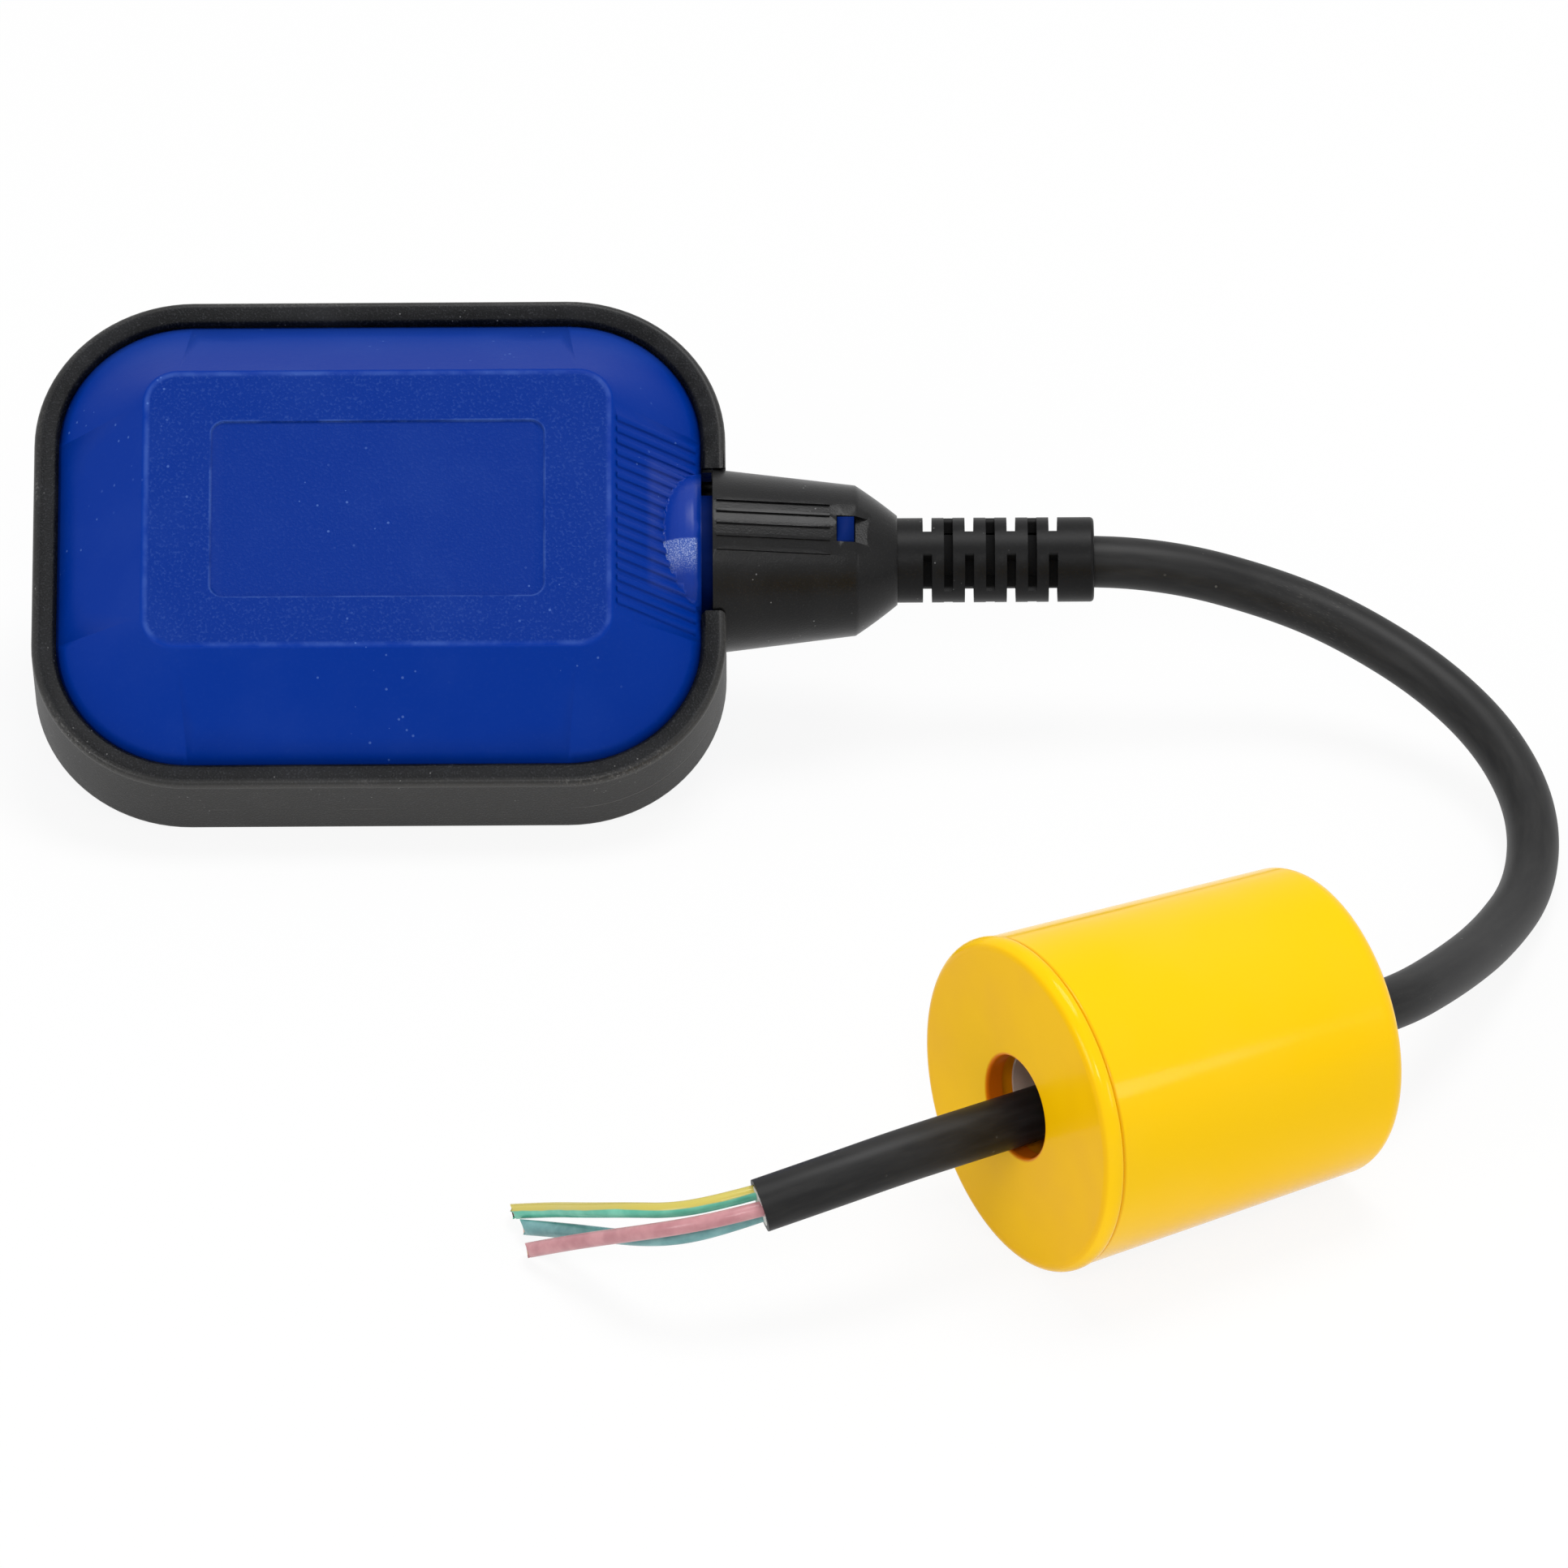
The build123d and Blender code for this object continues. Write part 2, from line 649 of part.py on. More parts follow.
with BuildPart() as switch_cover:
    with BuildSketch(Plane.XY.offset(tray_top)):
        with Locations(((case_front + case_back) / 2, case_shift)):
            Rectangle(case_depth, case_length)
    extrude(amount=case_lid)

with BuildPart() as lever_pin:
    with BuildSketch(Plane.XY.offset(tray_bottom)):
        with Locations((pin_x, pin_y)):
            Circle(pin_radius)
    extrude(amount=tray_height)

# Lever: a strip from its pin, sloped towards the ball, with a rolled knuckle
with BuildPart() as ball_lever:
    lever_plane = Plane(origin=(pin_x, pin_y, tray_middle - lever_width / 2),
                        x_dir=(-sin(rest_slope), -cos(rest_slope), 0), z_dir=(0, 0, 1))
    with BuildSketch(lever_plane):
        with Locations((lever_length / 2, 0)):
            SlotOverall(lever_length + lever_thickness, lever_thickness)
        Circle(knuckle_radius)
        Circle(pin_radius + pin_clearance, mode=Mode.SUBTRACT)
    extrude(amount=lever_width)

with BuildPart() as switch_plunger:
    with BuildSketch(Plane(origin=(plunger_tip_x, plunger_y, tray_middle), x_dir=(0, 1, 0), z_dir=(1, 0, 0))):
        Circle(plunger_radius)
    extrude(amount=plunger_end_x - plunger_tip_x)
    fillet(switch_plunger.faces().sort_by(Axis.X)[0].edges(), plunger_tip)
    collar_x = case_front + case_wall + seat_gap
    with BuildSketch(Plane(origin=(collar_x, plunger_y, tray_middle), x_dir=(0, 1, 0), z_dir=(1, 0, 0))):
        Circle(plunger_collar)
    extrude(amount=plunger_collar_length)

with BuildPart() as contact_blade:
    with BuildSketch(Plane.XY.offset(tray_middle - blade_width / 2)):
        with Locations((blade_face + blade_thickness / 2, (blade_tip_y + blade_pivot_y - blade_tail) / 2)):
            Rectangle(blade_thickness, blade_tip_y - blade_pivot_y + blade_tail)
    extrude(amount=blade_width)

# Terminals: flat strips whose inner ends meet the blade and whose outer ends take the leads
with BuildPart() as terminal_common:
    with BuildSketch(Plane.XY.offset(tray_middle - terminal_width / 2)):
        with Locations(((blade_back + contact_gap + terminal_end) / 2, blade_pivot_y)):
            Rectangle(terminal_end - blade_back - contact_gap, terminal_thickness)
    extrude(amount=terminal_width)

with BuildPart() as terminal_no:
    with BuildSketch(Plane.XY.offset(tray_middle - terminal_width / 2)):
        with Locations(((no_face + terminal_end) / 2, terminal_no_y)):
            Rectangle(terminal_end - no_face, terminal_thickness)
        no_head_low = terminal_no_y - terminal_thickness / 2
        no_head_high = contact_y + contact_size / 2
        with Locations((no_face + terminal_thickness / 2, (no_head_low + no_head_high) / 2)):
            Rectangle(terminal_thickness, no_head_high - no_head_low)
    extrude(amount=terminal_width)

with BuildPart() as terminal_nc:
    with BuildSketch(Plane.XY.offset(tray_middle - terminal_width / 2)):
        nc_start = nc_face - terminal_thickness
        with Locations(((nc_start + terminal_end) / 2, terminal_nc_y)):
            Rectangle(terminal_end - nc_start, terminal_thickness)
        nc_head_low = contact_y - contact_size / 2
        nc_head_high = terminal_nc_y + terminal_thickness / 2
        with Locations((nc_face - terminal_thickness / 2, (nc_head_low + nc_head_high) / 2)):
            Rectangle(terminal_thickness, nc_head_high - nc_head_low)
    extrude(amount=terminal_width)

# Leads from the terminals through the grommet to the end of the cable's sheath
lead_spread = lead_ring * cos(radians(30))
lead_drop = -lead_ring / 2
lead_start = terminal_end + seat_gap
lead_stop = sheath_inside - seat_gap

with BuildPart() as lead_brown:
    with BuildLine():
        FilletPolyline((lead_start, blade_pivot_y, tray_middle), (lead_turn_near, blade_pivot_y, tray_middle),
                       (lead_turn_far, -lead_spread, lead_drop), (lead_stop, -lead_spread, lead_drop),
                       radius=lead_bend)
    with BuildSketch(Plane(origin=(lead_start, blade_pivot_y, tray_middle), z_dir=(1, 0, 0))):
        Circle(core_radius)
    sweep()

with BuildPart() as lead_blue:
    with BuildLine():
        FilletPolyline((lead_start, terminal_no_y, tray_middle), (lead_turn_near, terminal_no_y, tray_middle),
                       (lead_turn_far, lead_spread, lead_drop), (lead_stop, lead_spread, lead_drop),
                       radius=lead_bend)
    with BuildSketch(Plane(origin=(lead_start, terminal_no_y, tray_middle), z_dir=(1, 0, 0))):
        Circle(core_radius)
    sweep()

with BuildPart() as lead_earth:
    with BuildSketch(across(earth_lead_end)):
        with Locations((0, lead_ring)):
            Circle(core_radius)
    extrude(amount=lead_stop - earth_lead_end)

# Cable, from inside the spigot out to its cut end beyond the counterweight, and its three cores
cable_start = (float_x + sheath_inside, 0, float_height)
cable_level_end = (exit_x + cable_level_run, 0, float_height)
cable_route = [cable_start, cable_level_end] + from_exit(cable_points)
cable_sheath = cord_tube("cable_sheath", cable_route, cable_radius)
core_earth = cord_tube("core_earth", core_route(earth_angle, earth_points), core_radius)
core_brown = cord_tube("core_brown", core_route(brown_angle, brown_points), core_radius)
core_blue = cord_tube("core_blue", core_route(blue_angle, blue_points), core_radius)

# Counterweight: a tapered shell round an iron core, closed by a cap
with BuildPart() as weight_shell:
    with BuildSketch(Plane.XZ):
        with BuildLine():
            inner_rear = weight_rear_radius - weight_wall
            inner_seam = seam_radius - cap_step - weight_wall
            Polyline((weight_bore, 0), (weight_rear_radius, 0), (seam_radius - cap_step, seam),
                     (inner_seam, seam), (inner_rear, weight_wall), (tube_radius, weight_wall),
                     (tube_radius, seam - seat_gap), (weight_bore, seam - seat_gap), close=True)
        make_face()
    revolve(axis=Axis.Z)
    rear_edges = weight_shell.faces().sort_by(Axis.Z)[0].edges().sort_by(SortBy.RADIUS)
    fillet(rear_edges[-1], weight_rear_edge)
    mouth_edges = weight_shell.faces().sort_by(Axis.Z)[0].edges().sort_by(SortBy.RADIUS)
    chamfer(mouth_edges[0], weight_mouth_edge)
    seam_edges = weight_shell.edges().filter_by(GeomType.CIRCLE).group_by(Axis.Z)[-1].sort_by(SortBy.RADIUS)
    chamfer(seam_edges[-1], seam_groove)

with BuildPart() as weight_cap:
    with BuildSketch(Plane.XZ):
        with BuildLine():
            Polyline((cap_bore, seam), (seam_radius, seam), (weight_front_radius, weight_length),
                     (cap_bore, weight_length), close=True)
        make_face()
    revolve(axis=Axis.Z)
    front_edges = weight_cap.faces().sort_by(Axis.Z)[-1].edges().sort_by(SortBy.RADIUS)
    fillet(front_edges[-1], weight_front_edge)
    fillet(weight_cap.edges().filter_by(GeomType.CIRCLE).group_by(Axis.Z)[-1].sort_by(SortBy.RADIUS)[0],
           weight_mouth_edge)
    back_edges = weight_cap.edges().filter_by(GeomType.CIRCLE).group_by(Axis.Z)[0].sort_by(SortBy.RADIUS)
    chamfer(back_edges[-1], seam_groove)
    with BuildSketch(Plane.XY.offset(seam - cap_lip)):
        Circle(inner_seam - seat_gap)
        Circle(inner_seam - seat_gap - cap_lip_wall, mode=Mode.SUBTRACT)
    extrude(amount=cap_lip)

with BuildPart() as weight_core:
    with BuildSketch(Plane.XZ):
        with BuildLine():
            core_low = weight_wall + iron_gap
            core_high = core_low + iron_length
            core_slope = (inner_seam - inner_rear) / (seam - weight_wall)
            core_low_radius = inner_rear - iron_gap + iron_gap * core_slope
            core_high_radius = core_low_radius + iron_length * core_slope
            Polyline((tube_radius + iron_gap, core_low), (core_low_radius, core_low),
                     (core_high_radius, core_high), (tube_radius + iron_gap, core_high), close=True)
        make_face()
    revolve(axis=Axis.Z)

with BuildPart() as lock_ring:
    with BuildSketch(Plane.XY.offset(seam - seat_gap - lock_ring_inset - lock_ring_length)):
        Circle(weight_bore - seal_gap)
        Circle(weight_bore - seal_gap - lock_ring_wall, mode=Mode.SUBTRACT)
        with Locations((0, weight_bore)):
            Rectangle(lock_ring_slit, weight_bore, mode=Mode.SUBTRACT)
    extrude(amount=lock_ring_length)

finish(top_shell, "top_shell", float_pose)
finish(bottom_shell, "bottom_shell", float_pose)
finish(rim_band, "rim_band", float_pose)
finish(gland_collar, "gland_collar", float_pose)
finish(strain_relief, "strain_relief", float_pose)
finish(cable_seal, "cable_seal", float_pose)
finish(clamp_ring, "clamp_ring", float_pose)
finish(capsule_base, "capsule_base", float_pose)
finish(capsule_cover, "capsule_cover", float_pose)
finish(lead_grommet, "lead_grommet", float_pose)
finish(steel_ball, "steel_ball", float_pose)
finish(switch_case, "switch_case", float_pose)
finish(switch_cover, "switch_cover", float_pose)
finish(lever_pin, "lever_pin", float_pose)
finish(ball_lever, "ball_lever", float_pose)
finish(switch_plunger, "switch_plunger", float_pose)
finish(contact_blade, "contact_blade", float_pose)
finish(terminal_common, "terminal_common", float_pose)
finish(terminal_no, "terminal_no", float_pose)
finish(terminal_nc, "terminal_nc", float_pose)
finish(lead_brown, "lead_brown", float_pose)
finish(lead_blue, "lead_blue", float_pose)
finish(lead_earth, "lead_earth", float_pose)
finish(cable_sheath, "cable_sheath")
finish(core_earth, "core_earth")
finish(core_brown, "core_brown")
finish(core_blue, "core_blue")
finish(weight_shell, "weight_shell", weight_pose)
finish(weight_cap, "weight_cap", weight_pose)
finish(weight_core, "weight_core", weight_pose)
finish(lock_ring, "lock_ring", weight_pose)
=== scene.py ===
# %% [markdown]
# # A cable float switch
# The object is a level switch for tanks. A flat blue float with a black band holds a ball and a
# small switch. A round black cable leaves it through a neck and a slotted rubber sleeve, loops back
# through a yellow counterweight, and ends in three bare-ended cores.
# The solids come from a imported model, so this lesson starts by loading them. Everything after that
# is in metres and in the same frame: X along the neck, Z up, the floor at Z = 0.

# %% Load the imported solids
import json
from math import atan, cos, degrees, pi, radians, sin

import bmesh
import bpy
from mathutils import Matrix, Vector

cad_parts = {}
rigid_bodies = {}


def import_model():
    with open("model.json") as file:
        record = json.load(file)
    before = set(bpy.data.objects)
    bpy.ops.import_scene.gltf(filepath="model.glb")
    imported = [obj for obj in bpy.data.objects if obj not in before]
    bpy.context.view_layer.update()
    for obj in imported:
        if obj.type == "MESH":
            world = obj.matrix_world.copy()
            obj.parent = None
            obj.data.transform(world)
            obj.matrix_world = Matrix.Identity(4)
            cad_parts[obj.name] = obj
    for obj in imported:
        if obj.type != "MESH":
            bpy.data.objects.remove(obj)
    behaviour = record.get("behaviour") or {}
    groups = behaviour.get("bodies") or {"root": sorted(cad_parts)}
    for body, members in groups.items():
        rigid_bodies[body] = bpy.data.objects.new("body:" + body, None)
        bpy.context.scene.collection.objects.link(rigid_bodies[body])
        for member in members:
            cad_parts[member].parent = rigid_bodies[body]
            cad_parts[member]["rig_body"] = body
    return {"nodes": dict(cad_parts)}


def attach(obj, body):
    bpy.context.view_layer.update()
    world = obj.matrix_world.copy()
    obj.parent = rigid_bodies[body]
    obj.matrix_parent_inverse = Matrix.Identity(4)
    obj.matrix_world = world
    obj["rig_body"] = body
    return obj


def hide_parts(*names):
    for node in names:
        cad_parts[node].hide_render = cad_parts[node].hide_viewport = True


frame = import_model()
bpy.ops.object.select_all(action="DESELECT")
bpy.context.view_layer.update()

# %% [markdown]
# ## Where the float lies
# The float rests on the edge of its lower face and on the edge of its band, so its own frame is
# turned about X. A pattern that follows the float, such as its recess or the painted highlights on its
# edges, is easier to describe in that turned frame. The numbers are the ones that the solids were built
# with.

# %% The float's own frame
MM = 0.001
FLOAT_X = -28.45 * MM
FLOAT_HEIGHT = 29.489 * MM
FLOAT_TILT = radians(34.075)
EXIT_X = 81.95 * MM
float_frame = Matrix.Translation((FLOAT_X, 0, FLOAT_HEIGHT)) @ Matrix.Rotation(FLOAT_TILT, 4, "X")
print("float tilt", round(degrees(FLOAT_TILT), 2), "degrees, cable exit at x", EXIT_X)

# %% [markdown]
# ## The camera
# The photograph was taken from far away with a long lens, looking down at about 31 degrees. The
# place and the lens were fitted to measured points of the photograph, so here they are only set.

# %% Camera
CAMERA_SPOT = (0.03383, -2.11673, 1.26109)
camera_data = bpy.data.cameras.new("camera")
camera_data.sensor_width = 36
camera_data.lens = 363.17
camera_data.clip_end = 50
camera = bpy.data.objects.new("camera", camera_data)
bpy.context.scene.collection.objects.link(camera)
look_down = Matrix.Rotation(radians(59), 4, "X")
camera_roll = Matrix.Rotation(radians(-0.329), 4, "Z")
camera.matrix_world = Matrix.Translation(CAMERA_SPOT) @ look_down @ camera_roll
bpy.context.scene.camera = camera
print("camera lens", camera_data.lens, "mm")

# %% [markdown]
# ## Shader maths as plain sums
# A material is a graph of nodes, and a mask such as `1 - grain * 0.3` takes several Math nodes.
# `Signal` wraps a socket, so that Python's operators add those nodes. `Finish` is one material, and
# its `add` method makes any other node from its type, its settings and its sockets' values.

# %% Signal: a socket that can be added and multiplied
class Signal:
    def __init__(self, finish, socket):
        self.finish = finish
        self.socket = socket

    def math(self, operation, *others):
        values = dict(enumerate([self, *others]))
        return self.finish.add("ShaderNodeMath", {"operation": operation}, values)

    def __add__(self, other):
        return self.math("ADD", other)

    def __radd__(self, other):
        return self.math("ADD", other)

    def __sub__(self, other):
        return self.math("SUBTRACT", other)

    def __rsub__(self, other):
        return self.finish.add("ShaderNodeMath", {"operation": "SUBTRACT"}, {0: other, 1: self})

    def __mul__(self, other):
        return self.math("MULTIPLY", other)

    def __rmul__(self, other):
        return self.math("MULTIPLY", other)

    def __abs__(self):
        return self.math("ABSOLUTE")

    def root(self):
        return self.math("SQRT")

    def low(self, other):
        return self.math("MINIMUM", other)

    def high(self, other):
        return self.math("MAXIMUM", other)

    def below(self, limit):
        """1 where the value is under the limit, 0 elsewhere."""
        return self.math("LESS_THAN", limit)

    def ramp(self, start, end):
        """0 below start, 1 above end, smooth between."""
        return self.finish.add(
            "ShaderNodeMapRange",
            {"interpolation_type": "SMOOTHSTEP"},
            {"Value": self, "From Min": start, "From Max": end},
        )


print("a Signal can be added, subtracted, multiplied and ramped")


# %% Finish: one material, node by node
class Finish:
    def __init__(self, name, specular=0.5):
        self.material = bpy.data.materials.new(name)
        self.material.use_nodes = True
        self.tree = self.material.node_tree
        self.shader = self.tree.nodes["Principled BSDF"]
        self.shader.inputs["Specular IOR Level"].default_value = specular
        self.place = self.add("ShaderNodeTexCoord", {}, {}, "Object")

    def add(self, kind, settings, values, output=0):
        """A node of this kind, with its settings made first and then its sockets filled."""
        node = self.tree.nodes.new(kind)
        for name, setting in settings.items():
            setattr(node, name, setting)
        for name, value in values.items():
            self.join(node.inputs[name], value)
        return Signal(self, node.outputs[output])

    def join(self, socket, value):
        """A Signal is linked to the socket. A number or a colour is set on it."""
        if isinstance(value, Signal):
            self.tree.links.new(value.socket, socket)
        elif isinstance(value, tuple) and socket.type == "RGBA":
            socket.default_value = (*value, 1)
        else:
            socket.default_value = value

    def put(self, **values):
        """Fills the shader's own sockets. Base_Color stands for Base Color, and so on."""
        for name, value in values.items():
            self.join(self.shader.inputs[name.replace("_", " ")], value)

    def noise(self, scale, detail, where=None):
        values = {"Vector": where or self.place, "Scale": scale, "Detail": detail}
        return self.add("ShaderNodeTexNoise", {}, values)

    def cells(self, scale):
        return self.add("ShaderNodeTexVoronoi", {}, {"Vector": self.place, "Scale": scale})

    def mix(self, amount, first, second):
        """A Mix node keeps its colours in inputs 6 and 7 and the mixed colour in output 2."""
        return self.add("ShaderNodeMix", {"data_type": "RGBA"}, {0: amount, 6: first, 7: second}, 2)

    def bump(self, height, depth, strength):
        values = {"Height": height, "Distance": depth, "Strength": strength}
        return self.add("ShaderNodeBump", {}, values)

    def axes(self, where=None):
        """The three coordinates of a place, each as a number."""
        node = self.add("ShaderNodeSeparateXYZ", {}, {0: where or self.place})
        return [Signal(self, out) for out in node.socket.node.outputs]


def srgb(*parts):
    """A colour as a picture editor names it, 0 to 255, made linear."""
    return tuple(((part / 255 + 0.055) / 1.055) ** 2.4 if part > 10 else part / 3294.6 for part in parts)


print("a plain blue in linear numbers:", [round(part, 3) for part in srgb(11, 54, 147)])

# %% [markdown]
# ## The cords come first
# The cable's route is the one that its solid follows: straight out of the sleeve, down in a loop that
# sags to the floor, and up into the counterweight. The points steer a smooth spline and mostly lie
# beside it. A NURBS spline is chosen because it needs few points and never kinks.

# %% Routes, in millimetres
cable_route = [
    (25.55, 0.0, 29.489),
    (77.3, 0.0, 29.489),
    (93.95, 0.0, 28.3),
    (109.55, -0.1, 23.4),
    (121.15, -3.4, 19.6),
    (134.35, -11.4, 14.6),
    (144.05, -23.8, 10.4),
    (148.95, -39.7, 6.8),
    (147.65, -57.2, 4.4),
    (141.15, -76.6, 7.3),
    (133.45, -95.5, 12.7),
    (124.45, -112.3, 17.6),
    (110.85, -124.2, 21.2),
    (95.25, -133.9, 21.6),
    (59.35, -156.3, 22.55),
    (49.95, -162.2, 22.8),
    (39.95, -166.8, 21.6),
    (29.95, -169.5, 19.3),
]
earth_route = [
    (30.7, -167.83, 21.0),
    (24.57, -169.49, 20.1),
    (17.55, -169.3, 18.4),
    (10.75, -165.9, 16.4),
    (4.35, -157.9, 11.3),
    (-1.15, -148.9, 5.7),
    (-7.55, -142.4, 1.2),
]
brown_route = [
    (31.76, -171.01, 20.2),
    (25.63, -172.67, 19.4),
    (18.85, -172.5, 17.7),
    (12.45, -170.1, 15.1),
    (6.75, -164.4, 10.6),
    (0.85, -159.1, 6.2),
    (-5.25, -153.3, 1.2),
]
blue_route = [
    (31.63, -168.51, 17.74),
    (25.51, -170.16, 16.33),
    (18.55, -170.0, 14.2),
    (12.25, -166.3, 11.6),
    (6.35, -159.2, 7.9),
    (0.15, -152.9, 4.7),
    (-6.05, -146.5, 1.2),
]
print("points that steer the cable:", len(cable_route), "and each core:", len(earth_route))


# %% A smooth line through a route
def smooth_line(route):
    """Points along the NURBS spline that a route in millimetres steers."""
    curve = bpy.data.curves.new("route", "CURVE")
    curve.dimensions = "3D"
    spline = curve.splines.new("NURBS")
    spline.points.add(len(route) - 1)
    for point, place in zip(spline.points, route):
        point.co = (*(c * MM for c in place), 1)
    spline.order_u = 3
    spline.use_endpoint_u = True
    spline.resolution_u = 12
    carrier = bpy.data.objects.new("route", curve)
    bpy.context.scene.collection.objects.link(carrier)
    mesh = bpy.data.meshes.new_from_object(carrier)
    line = [vertex.co.copy() for vertex in mesh.vertices]
    bpy.data.objects.remove(carrier)
    return line


def line_length(line):
    return sum((after - before).length for before, after in zip(line, line[1:]))


cable_line = smooth_line(cable_route)
core_lines = {
    "earth_wire": smooth_line(earth_route),
    "brown_wire": smooth_line(brown_route),
    "blue_wire": smooth_line(blue_route),
}
for name, line in [("cable", cable_line), *core_lines.items()]:
    lowest = min(point.z for point in line)
    print(name, "length", round(line_length(line) / MM, 1), "mm, lowest", round(lowest / MM, 1), "mm")

# %% [markdown]
# ### A round bar along a line
# A cable is a round bar swept along its line, which is a row of rings. A curve's own bevel would give
# the same shape, but rings give a UV map as well. Each ring is turned as little as possible from the
# one before, so that the skin doesn't twist. U is the way along in metres and V the way round, which
# lets a finish run with the cord.

# %% Rings that don't twist
def ring_frames(line):
    """For each point of a line: the point and two directions square to the line, without twist."""
    frames = []
    side = None
    for i, point in enumerate(line):
        ahead = line[min(i + 1, len(line) - 1)] - line[max(i - 1, 0)]
        ahead.normalize()
        if side is None:
            side = ahead.cross(Vector((0, 0, 1))).normalized()
        side = (side - ahead * side.dot(ahead)).normalized()
        frames.append((point, side, ahead.cross(side)))
    return frames


print("rings on the cable:", len(ring_frames(cable_line)))


# %% A tube along a line
def pick(piece):
    """Only this piece is selected, and it is the active one."""
    bpy.ops.object.select_all(action="DESELECT")
    piece.select_set(True)
    bpy.context.view_layer.objects.active = piece


def tube_along(name, line, radius, sides):
    """A closed tube round a line, with its UV map."""
    mesh = bmesh.new()
    uv = mesh.loops.layers.uv.new("UVMap")
    turns = [2 * pi * k / sides for k in range(sides)]
    rings = []
    for point, side, up in ring_frames(line):
        rings.append([mesh.verts.new(point + (side * cos(t) + up * sin(t)) * radius) for t in turns])
    along = 0.0
    for i, (ring, following) in enumerate(zip(rings, rings[1:])):
        step = (line[i + 1] - line[i]).length
        for k in range(sides):
            after = (k + 1) % sides
            face = mesh.faces.new([ring[k], ring[after], following[after], following[k]])
            face.smooth = True
            corners = [(along, k), (along, k + 1), (along + step, k + 1), (along + step, k)]
            for loop, (u, v) in zip(face.loops, corners):
                loop[uv].uv = (u, v / sides)
        along += step
    mesh.faces.new(list(reversed(rings[0])))
    mesh.faces.new(rings[-1])
    bmesh.ops.recalc_face_normals(mesh, faces=mesh.faces)
    data = bpy.data.meshes.new(name)
    mesh.to_mesh(data)
    mesh.free()
    piece = bpy.data.objects.new(name, data)
    bpy.context.scene.collection.objects.link(piece)
    pick(piece)
    bpy.ops.object.shade_smooth_by_angle(angle=radians(40))
    return piece


CABLE_RADIUS = 4.0 * MM
CORE_RADIUS = 1.15 * MM
cable = tube_along("cable", cable_line, CABLE_RADIUS, 48)
cores = {name: tube_along(name, line, CORE_RADIUS, 24) for name, line in core_lines.items()}
for piece in (cable, *cores.values()):
    print(piece.name, "faces:", len(piece.data.polygons))

# %% [markdown]
# ### What the cords are
# Each cord stands for its plain solid and moves with the float.

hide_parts("cable_sheath")
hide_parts("core_earth")
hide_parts("core_brown")
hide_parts("core_blue")
for name, line in core_lines.items():
    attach(cores[name], "float")
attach(cable, "float")
print("cords declared:", 1 + len(cores))

# %% [markdown]
# ## Finishes
# Each moulded piece has its own grain. The float is coarse-grained on its raised face and smoother on
# its flanks, the band is speckled, the neck is nearly smooth with some dust, and the counterweight is
# glossy. The grain is a Bump node's height, and it also shifts the colour a little, because real
# grain catches the light. These plastics reflect little, so their specular level is low.
#
# ### The blue float
# The float's finish changes from area to area: a raised face with painted highlights along its edge,
# a recess in it, smooth flanks, and a boss beside the neck. A separate material for each area would
# leave hard borders, so one material works out where a place lies, and each area is a mask with soft
# borders.

# %% Where a place lies on the float
BAND = (53.5 * MM, 41.5 * MM, 24.5 * MM)
PLATEAU = (36.1 * MM, 23.6 * MM, 5.3 * MM)
RECESS = (25.7 * MM, 15.0 * MM, 2.2 * MM)


def in_frame(finish, place, turn):
    """Places in a piece's own frame, so that a pattern can follow its faces."""
    values = {"Vector": finish.place, "Location": place, "Rotation": turn}
    return finish.add("ShaderNodeMapping", {"vector_type": "TEXTURE"}, values)


def float_axes(finish):
    """The three coordinates of a place in the float's own frame."""
    return finish.axes(in_frame(finish, (FLOAT_X, 0, FLOAT_HEIGHT), (FLOAT_TILT, 0, 0)))


def past_edge(x, y, half_length, half_width, corner):
    """How far a place lies outside a rounded rectangle. Inside, the distance is below zero."""
    past_x = abs(x) - (half_length - corner)
    past_y = abs(y) - (half_width - corner)
    out_x = past_x.high(0)
    out_y = past_y.high(0)
    return (out_x * out_x + out_y * out_y).root() + past_x.high(past_y).low(0) - corner


blue = Finish("blue_shell", 0.06)
x, y, z = float_axes(blue)
past_plateau = past_edge(x, y, *PLATEAU)
past_recess = past_edge(x, y, *RECESS)
upward = z.ramp(14 * MM, 16 * MM)
raised = (1 - past_plateau.ramp(-1.2 * MM, -0.2 * MM)) * upward
sunk = 1 - past_recess.ramp(-0.3 * MM, 0.1 * MM)
boss = (1 - abs(y).ramp(9 * MM, 12.8 * MM)) * x.ramp(41 * MM, 42.5 * MM)
spigot = x.ramp(49.7 * MM, 49.8 * MM)
print("areas of the float: raised face, recess, boss and spigot, in", len(blue.tree.nodes), "nodes")

# %% [markdown]
# The boss is frosted on one side, where its round shoulder catches the light: the frosted grain is a
# bump, and the highlight and sparkle there are painted into the colour. The patch ends where the ribs
# begin, so its mask measures how far a place lies from the shoulder's circle.

# %% Marks and painted highlights on the float
BOSS_RADIUS = 13.6 * MM
SHOULDER = 7.5 * MM
SHOULDER_X = 48.2 * MM
grain = blue.noise(2300, 4)
highlit = blue.noise(180, 4)
plateau_line = (1 - abs(past_plateau + 0.5 * MM).ramp(0.1 * MM, 0.6 * MM)) * upward
recess_line = (1 - abs(past_recess).ramp(0.05 * MM, 0.3 * MM)) * upward
# Painted highlights: thin pale lines along the edges of the raised face and the recess, broken up by
# noise.
edge_highlight = plateau_line * highlit.ramp(0.35, 0.65) * 0.2 + recess_line * highlit.ramp(0.3, 0.6) * 0.22
flecks = grain.ramp(0.5, 0.72) * (raised * (1 - sunk * 0.7) * 0.09 + 0.015)
specks = blue.cells(480).below(0.1) * blue.noise(55, 1).ramp(0.58, 0.66)
